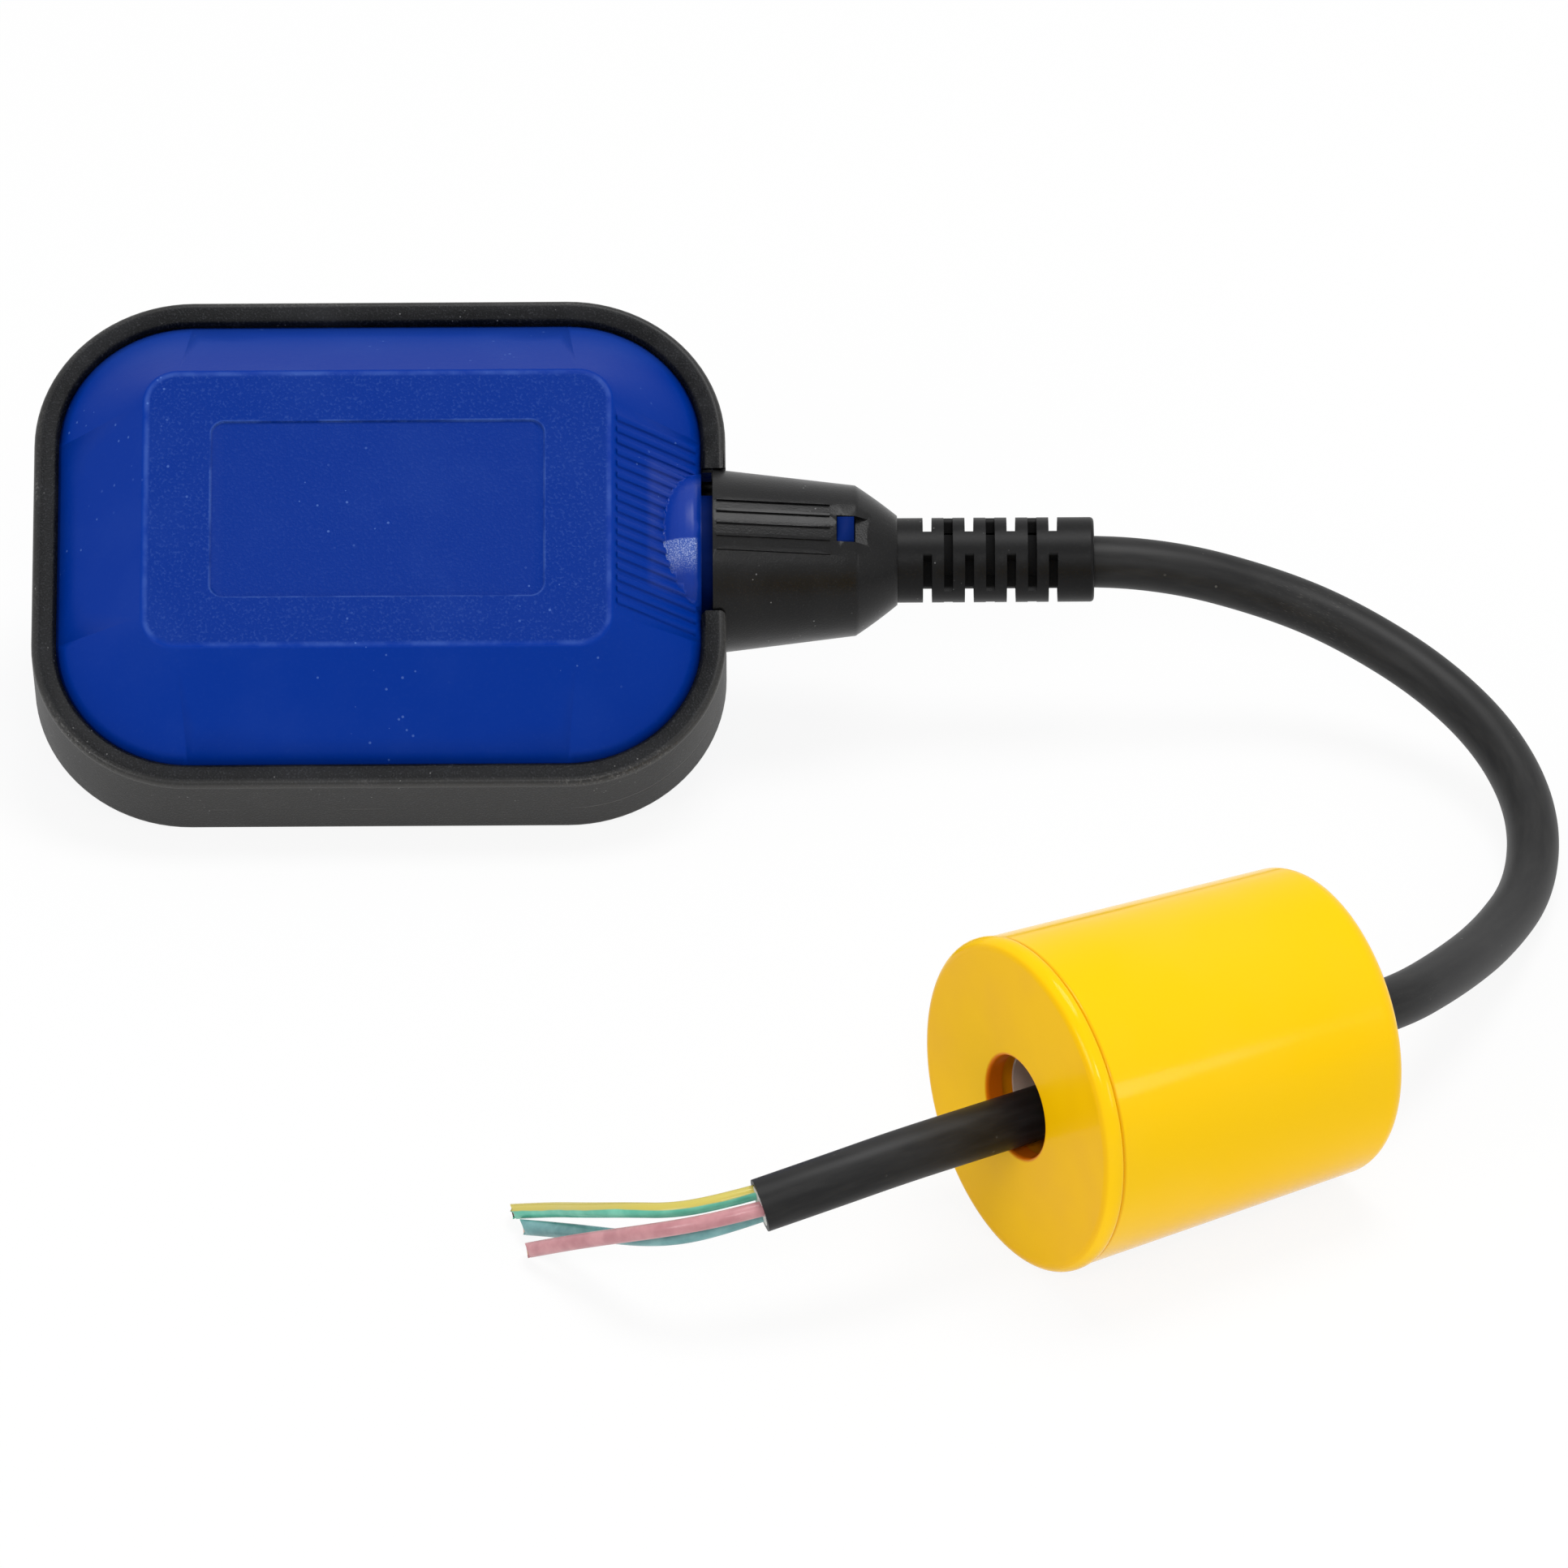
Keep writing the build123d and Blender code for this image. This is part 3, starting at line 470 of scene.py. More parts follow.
# A random pale mottle, plus a painted sheen that makes the far flank paler.
haze_and_sheen = blue.noise(70, 4).ramp(0.45, 0.75) * 0.02 + y.ramp(26 * MM, 34 * MM) * 0.06
from_axis = (y * y + z * z).root() - (BOSS_RADIUS - SHOULDER)
past_shoulder = (from_axis * from_axis + (x - SHOULDER_X) * (x - SHOULDER_X)).root() - SHOULDER
on_shoulder = (1 - past_shoulder.ramp(0.06 * MM, 0.14 * MM)) * (1 - x.ramp(48.9 * MM, 49.3 * MM))
# The frosted patch's mask: its grain is a real bump, its paleness and sparkle a painted highlight.
frosted_highlight = (1 - y.ramp(-2.6 * MM, -2.2 * MM)) * y.ramp(-8 * MM, -4 * MM) * z.ramp(3 * MM, 6 * MM)
frosted_highlight = boss * frosted_highlight * on_shoulder
sparkle = frosted_highlight * blue.noise(5200, 2).ramp(0.42, 0.7)
print("marks on the float: worn edges, flecks, specks, haze and a frosted patch")

# %% Colour, gloss and grain of the float
# The pale mix holds real specks, grain flecks and mottle, and painted light: edge highlights, the far
# flank's sheen and the boss's highlight.
pale = edge_highlight + flecks + specks * 0.4 + haze_and_sheen + frosted_highlight * 0.3
blue_skin_color = blue.mix(raised, srgb(0, 48, 146), srgb(0, 44, 134))
blue_skin_color = blue.mix(pale.low(1), blue_skin_color, srgb(96, 132, 206))
blue_skin_color = blue.mix(sparkle * 0.6, blue_skin_color, srgb(186, 198, 232))
grain_height = grain * (raised * 0.9 + frosted_highlight * 0.8 + 0.12) + blue.noise(700, 3) * 0.3
# Painted shade: the spigot inside the neck is a darker blue, as the neck's windows are in shade.
blue.put(
    Base_Color=blue.mix(spigot, blue_skin_color, srgb(0, 30, 96)),
    Roughness=0.38 + raised * 0.14 - sunk * raised * 0.05 - boss * 0.1 + spigot * 0.3,
    Coat_Weight=boss * (1 - spigot) * 0.35,
    Normal=blue.bump(grain_height, 0.09 * MM, 0.6),
)
blue.shader.inputs["Coat Roughness"].default_value = 0.36
print("blue nodes:", len(blue.tree.nodes))

# %% [markdown]
# ### Black mouldings
# Band, neck, sleeve and switch case are black, but not alike: the band has the deepest grain, the
# sleeve the finest. One function makes the black they share, and its values make the difference.

# %% Black mouldings and rubber
def black_moulding(name, dark, light, grain_size, grain_depth, roughness, dust, specular=0.3):
    """Fine grain, a paler tone on its peaks and some dust. Gives the finish, its grain, its colour."""
    finish = Finish(name, specular)
    grain = finish.noise(1 / grain_size, 3)
    mottle = finish.noise(120, 3)
    dots = finish.cells(800).below(0.1) * finish.noise(150, 1).ramp(0.56, 0.64)
    tone = grain.ramp(0.5, 0.78) * 0.7 + mottle.ramp(0.4, 0.8) * 0.25
    body = finish.mix(tone, dark, light)
    color = finish.mix(dots * dust, body, (0.42, 0.42, 0.42))
    finish.put(
        Base_Color=color,
        Roughness=roughness + (mottle - 0.5) * 0.16,
        Normal=finish.bump(grain, grain_depth, 0.6),
    )
    return finish, grain, color


band, band_grain, band_color = black_moulding(
    "band_black", srgb(8, 9, 11), srgb(52, 53, 56),
    grain_size=0.3 * MM, grain_depth=0.08 * MM, roughness=0.46, dust=0.3, specular=0.12,
)
neck, _, _ = black_moulding(
    "neck_black", srgb(8, 8, 9), srgb(28, 28, 29),
    grain_size=0.28 * MM, grain_depth=0.05 * MM, roughness=0.32, dust=0.35, specular=0.22,
)
sleeve, _, sleeve_color = black_moulding(
    "sleeve_rubber", srgb(7, 7, 8), srgb(20, 20, 21),
    grain_size=0.5 * MM, grain_depth=0.02 * MM, roughness=0.42, dust=0.25, specular=0.16,
)
inner_black, _, _ = black_moulding(
    "case_black", srgb(20, 20, 21), srgb(34, 34, 35),
    grain_size=0.4 * MM, grain_depth=0.01 * MM, roughness=0.45, dust=0.0,
)
print("black finishes:", band.material.name, neck.material.name, sleeve.material.name)

# %% [markdown]
# The sleeve's slots are narrow and deep, so their floor is painted near black as painted shade, and is
# duller. On the band, the mould left a parting line on the side, and the rounded edge is a little
# glossier and rubbed in places. The band's side and rounded edge are also painted paler than its top:
# painted light.

# %% Slots of the sleeve, corners and parting line of the band
_, y, z = sleeve.axes()
from_axis = (y * y + (z - FLOAT_HEIGHT) * (z - FLOAT_HEIGHT)).root()
deep = 1 - from_axis.ramp(5.6 * MM, 6.2 * MM)
# Painted shade: the floor of the slots is near black.
sleeve.put(
    Base_Color=sleeve.mix(deep, sleeve_color, (0.001, 0.001, 0.001)),
    Roughness=0.42 + deep * 0.5,
)
x, y, z = float_axes(band)
past_side = past_edge(x, y, *BAND)
side = past_side.ramp(-0.4 * MM, -0.1 * MM)
corner = past_side.ramp(-1.3 * MM, -0.5 * MM) * abs(z).ramp(6.6 * MM, 7.3 * MM)
parting = (1 - abs(z + 1 * MM).ramp(0.05 * MM, 0.2 * MM)) * band.noise(40, 2).ramp(0.45, 0.6)
rubbed = corner * band.noise(2600, 3).ramp(0.5, 0.66) * band.noise(60, 2).ramp(0.45, 0.62)
# Painted light: the side and the rounded edge are paler than the top. The rubbed marks and the parting
# line are real.
band_wear_and_painted_light = side * 0.07 + corner * 0.05 + rubbed * 0.15 + parting * side * 0.14
band.put(
    Base_Color=band.mix(band_wear_and_painted_light, band_color, srgb(158, 156, 152)),
    Coat_Weight=corner * 0.3,
    Normal=band.bump(band_grain - parting * side * 1.6, 0.08 * MM, 0.7),
)
band.shader.inputs["Coat Roughness"].default_value = 0.3
print("band nodes:", len(band.tree.nodes), "sleeve nodes:", len(sleeve.tree.nodes))

# %% [markdown]
# ### Cable rubber
# The sheath was pulled through a die and has been handled, so its marks run along it. The UV map
# has metres along U, and a Mapping node squeezes it, which draws the noise out along the cable.

# %% Cable rubber, with fine marks that run along it
cable_rubber = Finish("cable_rubber", 0.24)
skin = cable_rubber.add("ShaderNodeTexCoord", {}, {}, "UV")
stretched = cable_rubber.add("ShaderNodeMapping", {}, {"Vector": skin, "Scale": (40, 5, 1)})
scratched = cable_rubber.add("ShaderNodeMapping", {}, {"Vector": skin, "Scale": (260, 60, 1)})
scuffs = cable_rubber.noise(4, 4, stretched)
scratches = cable_rubber.noise(3, 5, scratched)
fine = cable_rubber.noise(1500, 2)
dusty = cable_rubber.noise(28, 2).ramp(0.55, 0.72)
dots = cable_rubber.cells(380).below(0.08) * cable_rubber.noise(120, 1).ramp(0.56, 0.64)
x, y, _ = cable_rubber.axes()
# Painted shade: inside the sleeve the pale marks are left off, so the cable shows its darkest tone.
covered = (1 - x.ramp(81.2 * MM, 82 * MM)) * y.ramp(-10 * MM, -8 * MM)
tone = scuffs.ramp(0.3, 0.8) * 0.08 + scratches.ramp(0.58, 0.75) * dusty * 0.6 + dots * 0.6
cable_rubber.put(
    Base_Color=cable_rubber.mix(tone * (1 - covered), srgb(17, 17, 18), srgb(96, 95, 92)),
    Roughness=0.42 + scuffs * 0.08 + covered * 0.5,
    Normal=cable_rubber.bump(fine + scuffs, 0.01 * MM, 0.4),
)
print("cable nodes:", len(cable_rubber.tree.nodes))

# %% [markdown]
# ### Core insulation
# The cores are soft plastic: one yellow and green, one pink-brown, one teal. The first is moulded in
# two colours that each take half of its way round, so V of the UV map chooses between them.

# %% Core insulation
def core_skin(name, color, shade, stripe=None):
    """Soft plastic on a core. A stripe covers about half of its way round."""
    finish = Finish(name, 0.35)
    round_way = finish.axes(finish.add("ShaderNodeTexCoord", {}, {}, "UV"))[1]
    mottle = finish.noise(300, 3)
    body = finish.mix(mottle.ramp(0.3, 0.75), shade, color)
    if stripe:
        wander = finish.noise(90, 2) * 0.1 - 0.05
        half_turn = abs((round_way + wander + 0.65).math("FRACT") - 0.5)
        body = finish.mix(1 - half_turn.ramp(0.235, 0.265), body, stripe)
    finish.put(
        Base_Color=body,
        Roughness=0.38 + mottle * 0.15,
        Normal=finish.bump(mottle, 0.05 * MM, 0.5),
    )
    finish.shader.inputs["Coat Weight"].default_value = 0.4
    finish.shader.inputs["Coat Roughness"].default_value = 0.15
    return finish


earth_skin = core_skin("earth_skin", srgb(116, 206, 178), srgb(84, 184, 156), srgb(206, 190, 86))
brown_skin = core_skin("brown_skin", srgb(206, 148, 152), srgb(182, 122, 128))
blue_skin = core_skin("blue_skin", srgb(124, 174, 174), srgb(88, 142, 144))
print("core skins:", earth_skin.material.name, brown_skin.material.name, blue_skin.material.name)

# %% [markdown]
# ### The counterweight's own frame
# The counterweight is a tapered drum that lies on its side. Its own frame has Z along its axis, from
# the rear end to the cap, so that its finish and its mesh can both be drawn upright.

# %% Counterweight frame
WEIGHT_LENGTH = 54.0 * MM
SEAM = 51.3 * MM
FRONT_RADIUS = 25.5 * MM
REAR_RADIUS = 23.3 * MM
WEIGHT_HEIGHT = 23.281 * MM
WEIGHT_YAW = radians(31.7)
weight_taper = atan((FRONT_RADIUS - REAR_RADIUS) / WEIGHT_LENGTH)
level = cos(weight_taper)
along = Vector((-cos(WEIGHT_YAW) * level, -sin(WEIGHT_YAW) * level, sin(weight_taper)))
across = Vector((-sin(WEIGHT_YAW), cos(WEIGHT_YAW), 0))
weight_turn = Matrix((across, along.cross(across), along)).transposed()
weight_spot = Vector((EXIT_X + 31.4 * MM, -124.4 * MM, WEIGHT_HEIGHT))
weight_frame = Matrix.Translation(weight_spot) @ weight_turn.to_4x4()
print("weight axis:", [round(c, 3) for c in along], "taper", round(degrees(weight_taper), 2), "degrees")

# %% [markdown]
# ### Glossy yellow
# The drum is glossy, but its gloss isn't even: the plastic flowed in the mould and left slow waves.
# A coat with a mask gives the brighter streaks. The hole's wall is a deeper orange, because light
# bounces there between yellow walls.

# %% Yellow plastic
yellow = Finish("yellow_gloss", 0.05)
x, y, z = yellow.axes(in_frame(yellow, tuple(weight_spot), tuple(weight_turn.to_euler("XYZ"))))
flow = yellow.noise(30, 3)
ripple = yellow.noise(260, 2)
face = z.ramp(WEIGHT_LENGTH - 0.5 * MM, WEIGHT_LENGTH - 0.1 * MM)
bore = 1 - (x * x + y * y).root().ramp(7.9 * MM, 8.5 * MM)
mould_line = (1 - abs(x + 4 * MM).ramp(0.08 * MM, 0.3 * MM)) * y.ramp(15 * MM, 20 * MM) * (1 - face)
joint_line = 1 - abs(z - (SEAM - 0.2 * MM)).ramp(0.1 * MM, 0.5 * MM)
# The mould line and the joint line are darker seams. The cap's face is painted a deeper orange: painted
# shade, as it faces away from the stronger light.
deeper = mould_line * 0.5 + joint_line * 0.5 + face * (flow.ramp(0.35, 0.7) * 0.3 + 0.2)
skin_yellow = yellow.mix(deeper.low(1), srgb(255, 204, 0), srgb(230, 160, 0))
waves = flow * 1.2 + ripple * 0.04 + face * ripple * 0.2 - mould_line * 1.5
yellow.put(
    Base_Color=yellow.mix(bore, skin_yellow, srgb(226, 112, 8)),
    Roughness=0.13 + flow * 0.06 + face * 0.14,
    Coat_Weight=0.1 + flow.ramp(0.4, 0.7) * 0.2 - face * 0.08,
    Normal=yellow.bump(waves, 0.1 * MM, 0.4),
)
yellow.shader.inputs["Coat Roughness"].default_value = 0.08
print("yellow nodes:", len(yellow.tree.nodes))

# %% [markdown]
# ### Plain finishes
# The liner, the filler and the pieces inside the float need less: a slight change of tone, a fine
# grain and the right gloss. Metals differ from plastics by their Metallic value.

# %% Plain finishes for the liner, the filler and what lies inside the float
def plain_finish(name, color, shade, roughness, metallic=0.0, size=0.5 * MM):
    """A simple finish: one material with a slight change of tone and a fine grain."""
    finish = Finish(name)
    mottle = finish.noise(1 / size, 3)
    finish.put(
        Base_Color=finish.mix(mottle, shade, color),
        Roughness=roughness + mottle * 0.1,
        Metallic=metallic,
        Normal=finish.bump(mottle, 0.01 * MM, 0.3),
    )
    return finish


white_nylon = plain_finish("white_nylon", (0.78, 0.78, 0.74), (0.68, 0.68, 0.64), 0.4)
clear_liner = plain_finish("clear_liner", (0.95, 0.93, 0.86), (0.86, 0.83, 0.74), 0.1)
clear_liner.shader.inputs["Alpha"].default_value = 0.4
talc = plain_finish("pale_filler", (0.8, 0.8, 0.76), (0.5, 0.52, 0.5), 0.7, 0.0, 0.8 * MM)
iron = plain_finish("raw_iron", (0.2, 0.19, 0.18), (0.12, 0.11, 0.1), 0.6, 1.0, 1.5 * MM)
steel = plain_finish("bright_steel", (0.62, 0.62, 0.63), (0.5, 0.5, 0.51), 0.18, 1.0)
copper = plain_finish("copper", (0.72, 0.36, 0.2), (0.5, 0.24, 0.13), 0.3, 1.0)
brass = plain_finish("brass", (0.8, 0.6, 0.28), (0.7, 0.5, 0.2), 0.25, 1.0)
print("finishes:", len(bpy.data.materials))

# %% [markdown]
# ## Working in edit mode from a script
# By hand, one clicks on an edge loop and presses a key. In a script the same loop is found by its
# place: `choose` selects what passes a test and nothing else, and then the same operators follow.

# %% Edit mode helpers
def edit(piece):
    """Only this piece is selected, and edit mode opens on it."""
    pick(piece)
    bpy.ops.object.mode_set(mode="EDIT")


def choose(kind, test):
    """Selects the vertices, edges or faces whose place passes the test, and gives their number."""
    bpy.ops.mesh.select_mode(type=kind)
    bpy.ops.mesh.select_all(action="DESELECT")
    mesh = bmesh.from_edit_mesh(bpy.context.active_object.data)
    if kind == "VERT":
        chosen = [vertex for vertex in mesh.verts if test(vertex.co)]
    elif kind == "EDGE":
        chosen = [edge for edge in mesh.edges if all(test(vertex.co) for vertex in edge.verts)]
    else:
        chosen = [face for face in mesh.faces if test(face.calc_center_median())]
    for item in chosen:
        item.select_set(True)
    bmesh.update_edit_mesh(bpy.context.active_object.data)
    return len(chosen)


print("edit mode helpers: edit and choose")


# %% Helpers that finish a piece
def lay(piece, place):
    """Moves a piece drawn at the origin to its place, and puts the move into its mesh."""
    bpy.ops.object.mode_set(mode="OBJECT")
    piece.matrix_world = place
    bpy.ops.object.transform_apply(location=True, rotation=True, scale=True)


def even_shading(piece, sharp):
    """Smooth shading apart from sharp edges, with large faces kept flat next to small roundings."""
    pick(piece)
    bpy.ops.object.shade_smooth_by_angle(angle=radians(sharp))
    weighted = piece.modifiers.new("even_shading", "WEIGHTED_NORMAL")
    weighted.keep_sharp = True
    weighted.weight = 80
    bpy.ops.object.modifier_apply(modifier=weighted.name)


def wear(piece, finish):
    """The piece shows this finish all over."""
    piece.data.materials.clear()
    piece.data.materials.append(finish.material)


print("finishing helpers: lay, even_shading and wear")

# %% [markdown]
# ## The counterweight
# The real one is a tapered yellow shell closed by a cap, with a seam just behind the cap's rounded
# edge and a hole for the cable. Both are turned shapes. A cylinder is the quickest start: one end is
# scaled for the taper, both ends are inset to the hole, the insets are bridged, and the edges are
# bevelled to the roundings that the photograph shows. Both are drawn upright and then laid down.

# %% A turned ring with a hole
def turned_ring(name, low, high, low_radius, high_radius, bore):
    """A tapered ring from z = low to z = high with a round hole, open in edit mode."""
    bpy.ops.object.select_all(action="DESELECT")
    bpy.ops.mesh.primitive_cylinder_add(
        vertices=192, radius=low_radius, depth=high - low, location=(0, 0, (low + high) / 2)
    )
    piece = bpy.context.active_object
    piece.name = name
    piece.data.name = name
    bpy.ops.object.transform_apply(location=True)
    edit(piece)
    choose("VERT", lambda place: place.z > high - 0.01 * MM)
    grow = high_radius / low_radius
    bpy.ops.transform.resize(value=(grow, grow, 1), center_override=(0, 0, high))
    for end, radius in ((low, low_radius), (high, high_radius)):
        choose("FACE", lambda place: abs(place.z - end) < 0.01 * MM)
        bpy.ops.mesh.inset(thickness=radius - bore)
        bpy.ops.mesh.delete(type="ONLY_FACE")
    choose("EDGE", lambda place: place.xy.length < bore + 0.1 * MM)
    bpy.ops.mesh.bridge_edge_loops()
    return piece


def round_edge(end, radius, size, steps):
    """Rounds the ring of edges at this height and radius, and gives their number."""
    def on_ring(place):
        return abs(place.z - end) < 0.02 * MM and abs(place.xy.length - radius) < 0.1 * MM

    count = choose("EDGE", on_ring)
    bpy.ops.mesh.bevel(offset=size, segments=steps, affect="EDGES")
    return count


print("turning helpers: turned_ring and round_edge")

# %% Shell and cap
SHELL_BORE = 8.1 * MM
CAP_BORE = 7.8 * MM
SEAM_RADIUS = 25.39 * MM
shell_end_radius = SEAM_RADIUS - 0.25 * MM
shell = turned_ring("weight_body", 0, SEAM, REAR_RADIUS, shell_end_radius, SHELL_BORE)
print("rear edges rounded:", round_edge(0, REAR_RADIUS, 3 * MM, 10))
round_edge(0, SHELL_BORE, 0.6 * MM, 3)
round_edge(SEAM, shell_end_radius, 0.5 * MM, 3)
lay(shell, weight_frame)
cap = turned_ring("weight_front", SEAM, WEIGHT_LENGTH, SEAM_RADIUS, FRONT_RADIUS, CAP_BORE)
print("front edges rounded:", round_edge(WEIGHT_LENGTH, FRONT_RADIUS, 1.9 * MM, 10))
round_edge(WEIGHT_LENGTH, CAP_BORE, 0.6 * MM, 4)
round_edge(SEAM, SEAM_RADIUS, 0.45 * MM, 3)
lay(cap, weight_frame)
for piece, node in ((shell, "weight_shell"), (cap, "weight_cap")):
    even_shading(piece, 50)
    wear(piece, yellow)
    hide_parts(node)
    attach(piece, "weight")
print("weight faces:", len(shell.data.polygons), len(cap.data.polygons))

# %% [markdown]
# ### The liner
# The hole has a thin translucent liner, slit on one side. It is an open tube whose faces over the
# slit are deleted, and a Solidify modifier gives it its wall.

# %% Liner
bpy.ops.object.select_all(action="DESELECT")
bpy.ops.mesh.primitive_cylinder_add(
    vertices=96, radius=8.05 * MM, depth=6 * MM, location=(0, 0, SEAM - 4.9 * MM), end_fill_type="NOTHING"
)
liner = bpy.context.active_object
liner.name = "liner"
bpy.ops.object.transform_apply(location=True)
edit(liner)
choose("FACE", lambda place: abs(place.x) < 1.5 * MM and place.y > 0)
bpy.ops.mesh.delete(type="FACE")
lay(liner, weight_frame)
wall = liner.modifiers.new("wall", "SOLIDIFY")
wall.thickness = 0.4 * MM
wall.offset = -1
bpy.ops.object.modifier_apply(modifier=wall.name)
even_shading(liner, 40)
wear(liner, clear_liner)
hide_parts("lock_ring")
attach(liner, "weight")
print("liner faces:", len(liner.data.polygons))

# %% [markdown]
# ## The strain relief
# The rubber sleeve on the cable is slotted in turn from its two sides and from its top and bottom, so
# that it bends evenly. It starts as another turned ring. Each slot is two boxes, one each side of a
# web, and a Boolean modifier cuts them all at once. A Bevel modifier then rounds every edge, because
# a moulded rubber part has no sharp ones.

# %% Sleeve and the boxes that cut its slots
SLEEVE_BACK = 74.0 * MM
SLEEVE_END = 110.4 * MM
SLEEVE_RADIUS = 6.55 * MM
SLOT_COUNT = 7
FIRST_SLOT = 84.65 * MM
SLOT_STEP = 3.24 * MM
SLOT_WIDTH = 1.4 * MM
WEB = 3.8 * MM
BOX_WIDTH = 20 * MM
BOX_DEPTH = 8 * MM
ribbed = turned_ring("slotted_sleeve", SLEEVE_BACK, SLEEVE_END, SLEEVE_RADIUS, SLEEVE_RADIUS, 4.15 * MM)
print("end edges rounded:", round_edge(SLEEVE_END, SLEEVE_RADIUS, 0.6 * MM, 4))
bpy.ops.object.mode_set(mode="OBJECT")
cutters = []
for slot in range(SLOT_COUNT):
    for turn in (0, 180):
        bpy.ops.object.select_all(action="DESELECT")
        bpy.ops.mesh.primitive_cube_add(size=1, location=(0, 0, FIRST_SLOT + slot * SLOT_STEP))
        box = bpy.context.active_object
        box.scale = (BOX_WIDTH, BOX_DEPTH, SLOT_WIDTH)
        box.location.y = WEB / 2 + BOX_DEPTH / 2
        bpy.ops.object.transform_apply(location=True, rotation=True, scale=True)
        box.rotation_euler.z = radians(turn if slot % 2 == 0 else turn + 90)
        bpy.ops.object.transform_apply(location=True, rotation=True, scale=True)
        cutters.append(box)
print("boxes for the slots:", len(cutters))

# %% Cut the slots and round their edges
bpy.ops.object.select_all(action="DESELECT")
for box in cutters:
    box.select_set(True)
bpy.context.view_layer.objects.active = cutters[0]
bpy.ops.object.join()
cutting = ribbed.modifiers.new("slots", "BOOLEAN")
cutting.object = cutters[0]
cutting.operation = "DIFFERENCE"
cutting.solver = "EXACT"
rounding = ribbed.modifiers.new("rounded_edges", "BEVEL")
rounding.width = 0.35 * MM
rounding.segments = 3
rounding.angle_limit = radians(40)
pick(ribbed)
bpy.ops.object.modifier_apply(modifier="slots")
bpy.ops.object.modifier_apply(modifier="rounded_edges")
bpy.data.objects.remove(cutters[0])
lay(ribbed, float_frame @ Matrix.Rotation(radians(90), 4, "Y"))
even_shading(ribbed, 35)
wear(ribbed, sleeve)
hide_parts("strain_relief")
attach(ribbed, "float")
print("sleeve faces:", len(ribbed.data.polygons))

# %% [markdown]
# ## The sheath's cut end
# The cable's outer sheath is a rubber tube, and at its cut end one sees its wall and the pale filler
# between the cores. The tube's end face is inset by the wall and pushed in, and a lumpy disc of
# filler sits at the bottom.

# %% Hollow end
cut = cable_line[-1]
outward = (cable_line[-1] - cable_line[-2]).normalized()
edit(cable)
print("end face:", choose("FACE", lambda place: (place - cut).length < 0.5 * MM))
bpy.ops.mesh.inset(thickness=0.85 * MM)
bpy.ops.mesh.extrude_region_move(TRANSFORM_OT_translate={"value": tuple(outward * -1.3 * MM)})
bpy.ops.object.mode_set(mode="OBJECT")
bpy.ops.object.shade_smooth_by_angle(angle=radians(40))
wear(cable, cable_rubber)
print("cable faces:", len(cable.data.polygons))

# %% Filler
bpy.ops.object.select_all(action="DESELECT")
bpy.ops.mesh.primitive_cylinder_add(vertices=40, radius=3.1 * MM, depth=0.8 * MM)
filler = bpy.context.active_object
filler.name = "filler"
edit(filler)
choose("FACE", lambda place: place.z > 0.3 * MM)
for _ in range(4):
    bpy.ops.mesh.inset(thickness=0.6 * MM)
bpy.ops.mesh.select_all(action="SELECT")
bpy.ops.transform.vertex_random(offset=0.22 * MM, seed=3)
bpy.ops.mesh.vertices_smooth(factor=0.3)
face_outward = outward.to_track_quat("Z", "Y").to_matrix().to_4x4()
lay(filler, Matrix.Translation(cut - outward * 0.3 * MM) @ face_outward)
even_shading(filler, 60)
wear(filler, talc)
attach(filler, "float")
print("filler faces:", len(filler.data.polygons))

# %% [markdown]
# ### Snipped cores
# The cores are snipped off at a slant, so each tube is bisected near its end. The cut face is inset
# by the insulation's thickness and shows the copper.

# %% Snipped cores
SNIP = Vector((-0.922, -0.196, -0.326))
core_skins = {"earth_wire": earth_skin, "brown_wire": brown_skin, "blue_wire": blue_skin}
for name, finish in core_skins.items():
    line = core_lines[name]
    near_end = line[-1] + (line[-2] - line[-1]).normalized() * 1.5 * MM
    edit(cores[name])
    bpy.ops.mesh.select_all(action="SELECT")
    bpy.ops.mesh.bisect(plane_co=near_end, plane_no=SNIP, use_fill=True, clear_outer=True)
    wire_end = choose("FACE", lambda place: abs((place - near_end).dot(SNIP)) < 0.05 * MM)
    bpy.ops.mesh.inset(thickness=0.45 * MM)
    wear(cores[name], finish)
    cores[name].data.materials.append(copper.material)
    cores[name].active_material_index = 1
    bpy.ops.object.material_slot_assign()
    bpy.ops.object.mode_set(mode="OBJECT")
    bpy.ops.object.shade_smooth_by_angle(angle=radians(40))
    print(name, "cut faces:", wire_end)

# %% [markdown]
# ## Dress the other solids
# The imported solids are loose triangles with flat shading. A solid with the right shape gets a copy
# whose doubled corners are merged and whose shading is evened. The collar's sharp edges get small
# bevels too, which catch the light as moulded edges do. The neck's windows and the latches in them
# are narrower on the real one than on the solids, so their corners are drawn together there.

# %% Smooth copies
WINDOW_START = 70.4 * MM
WINDOW_END = 75.5 * MM
WINDOW_HALF_WIDTH = 3.05 * MM
WINDOW_FLOOR = 9.7 * MM
WINDOW_NARROWING = 0.74


def near_window(place):
    """True around the neck's two windows and the latches in them, in the float's own frame."""
    along_neck = WINDOW_START < place.x < WINDOW_END
    return along_neck and abs(place.y) < WINDOW_HALF_WIDTH and abs(place.z) > WINDOW_FLOOR


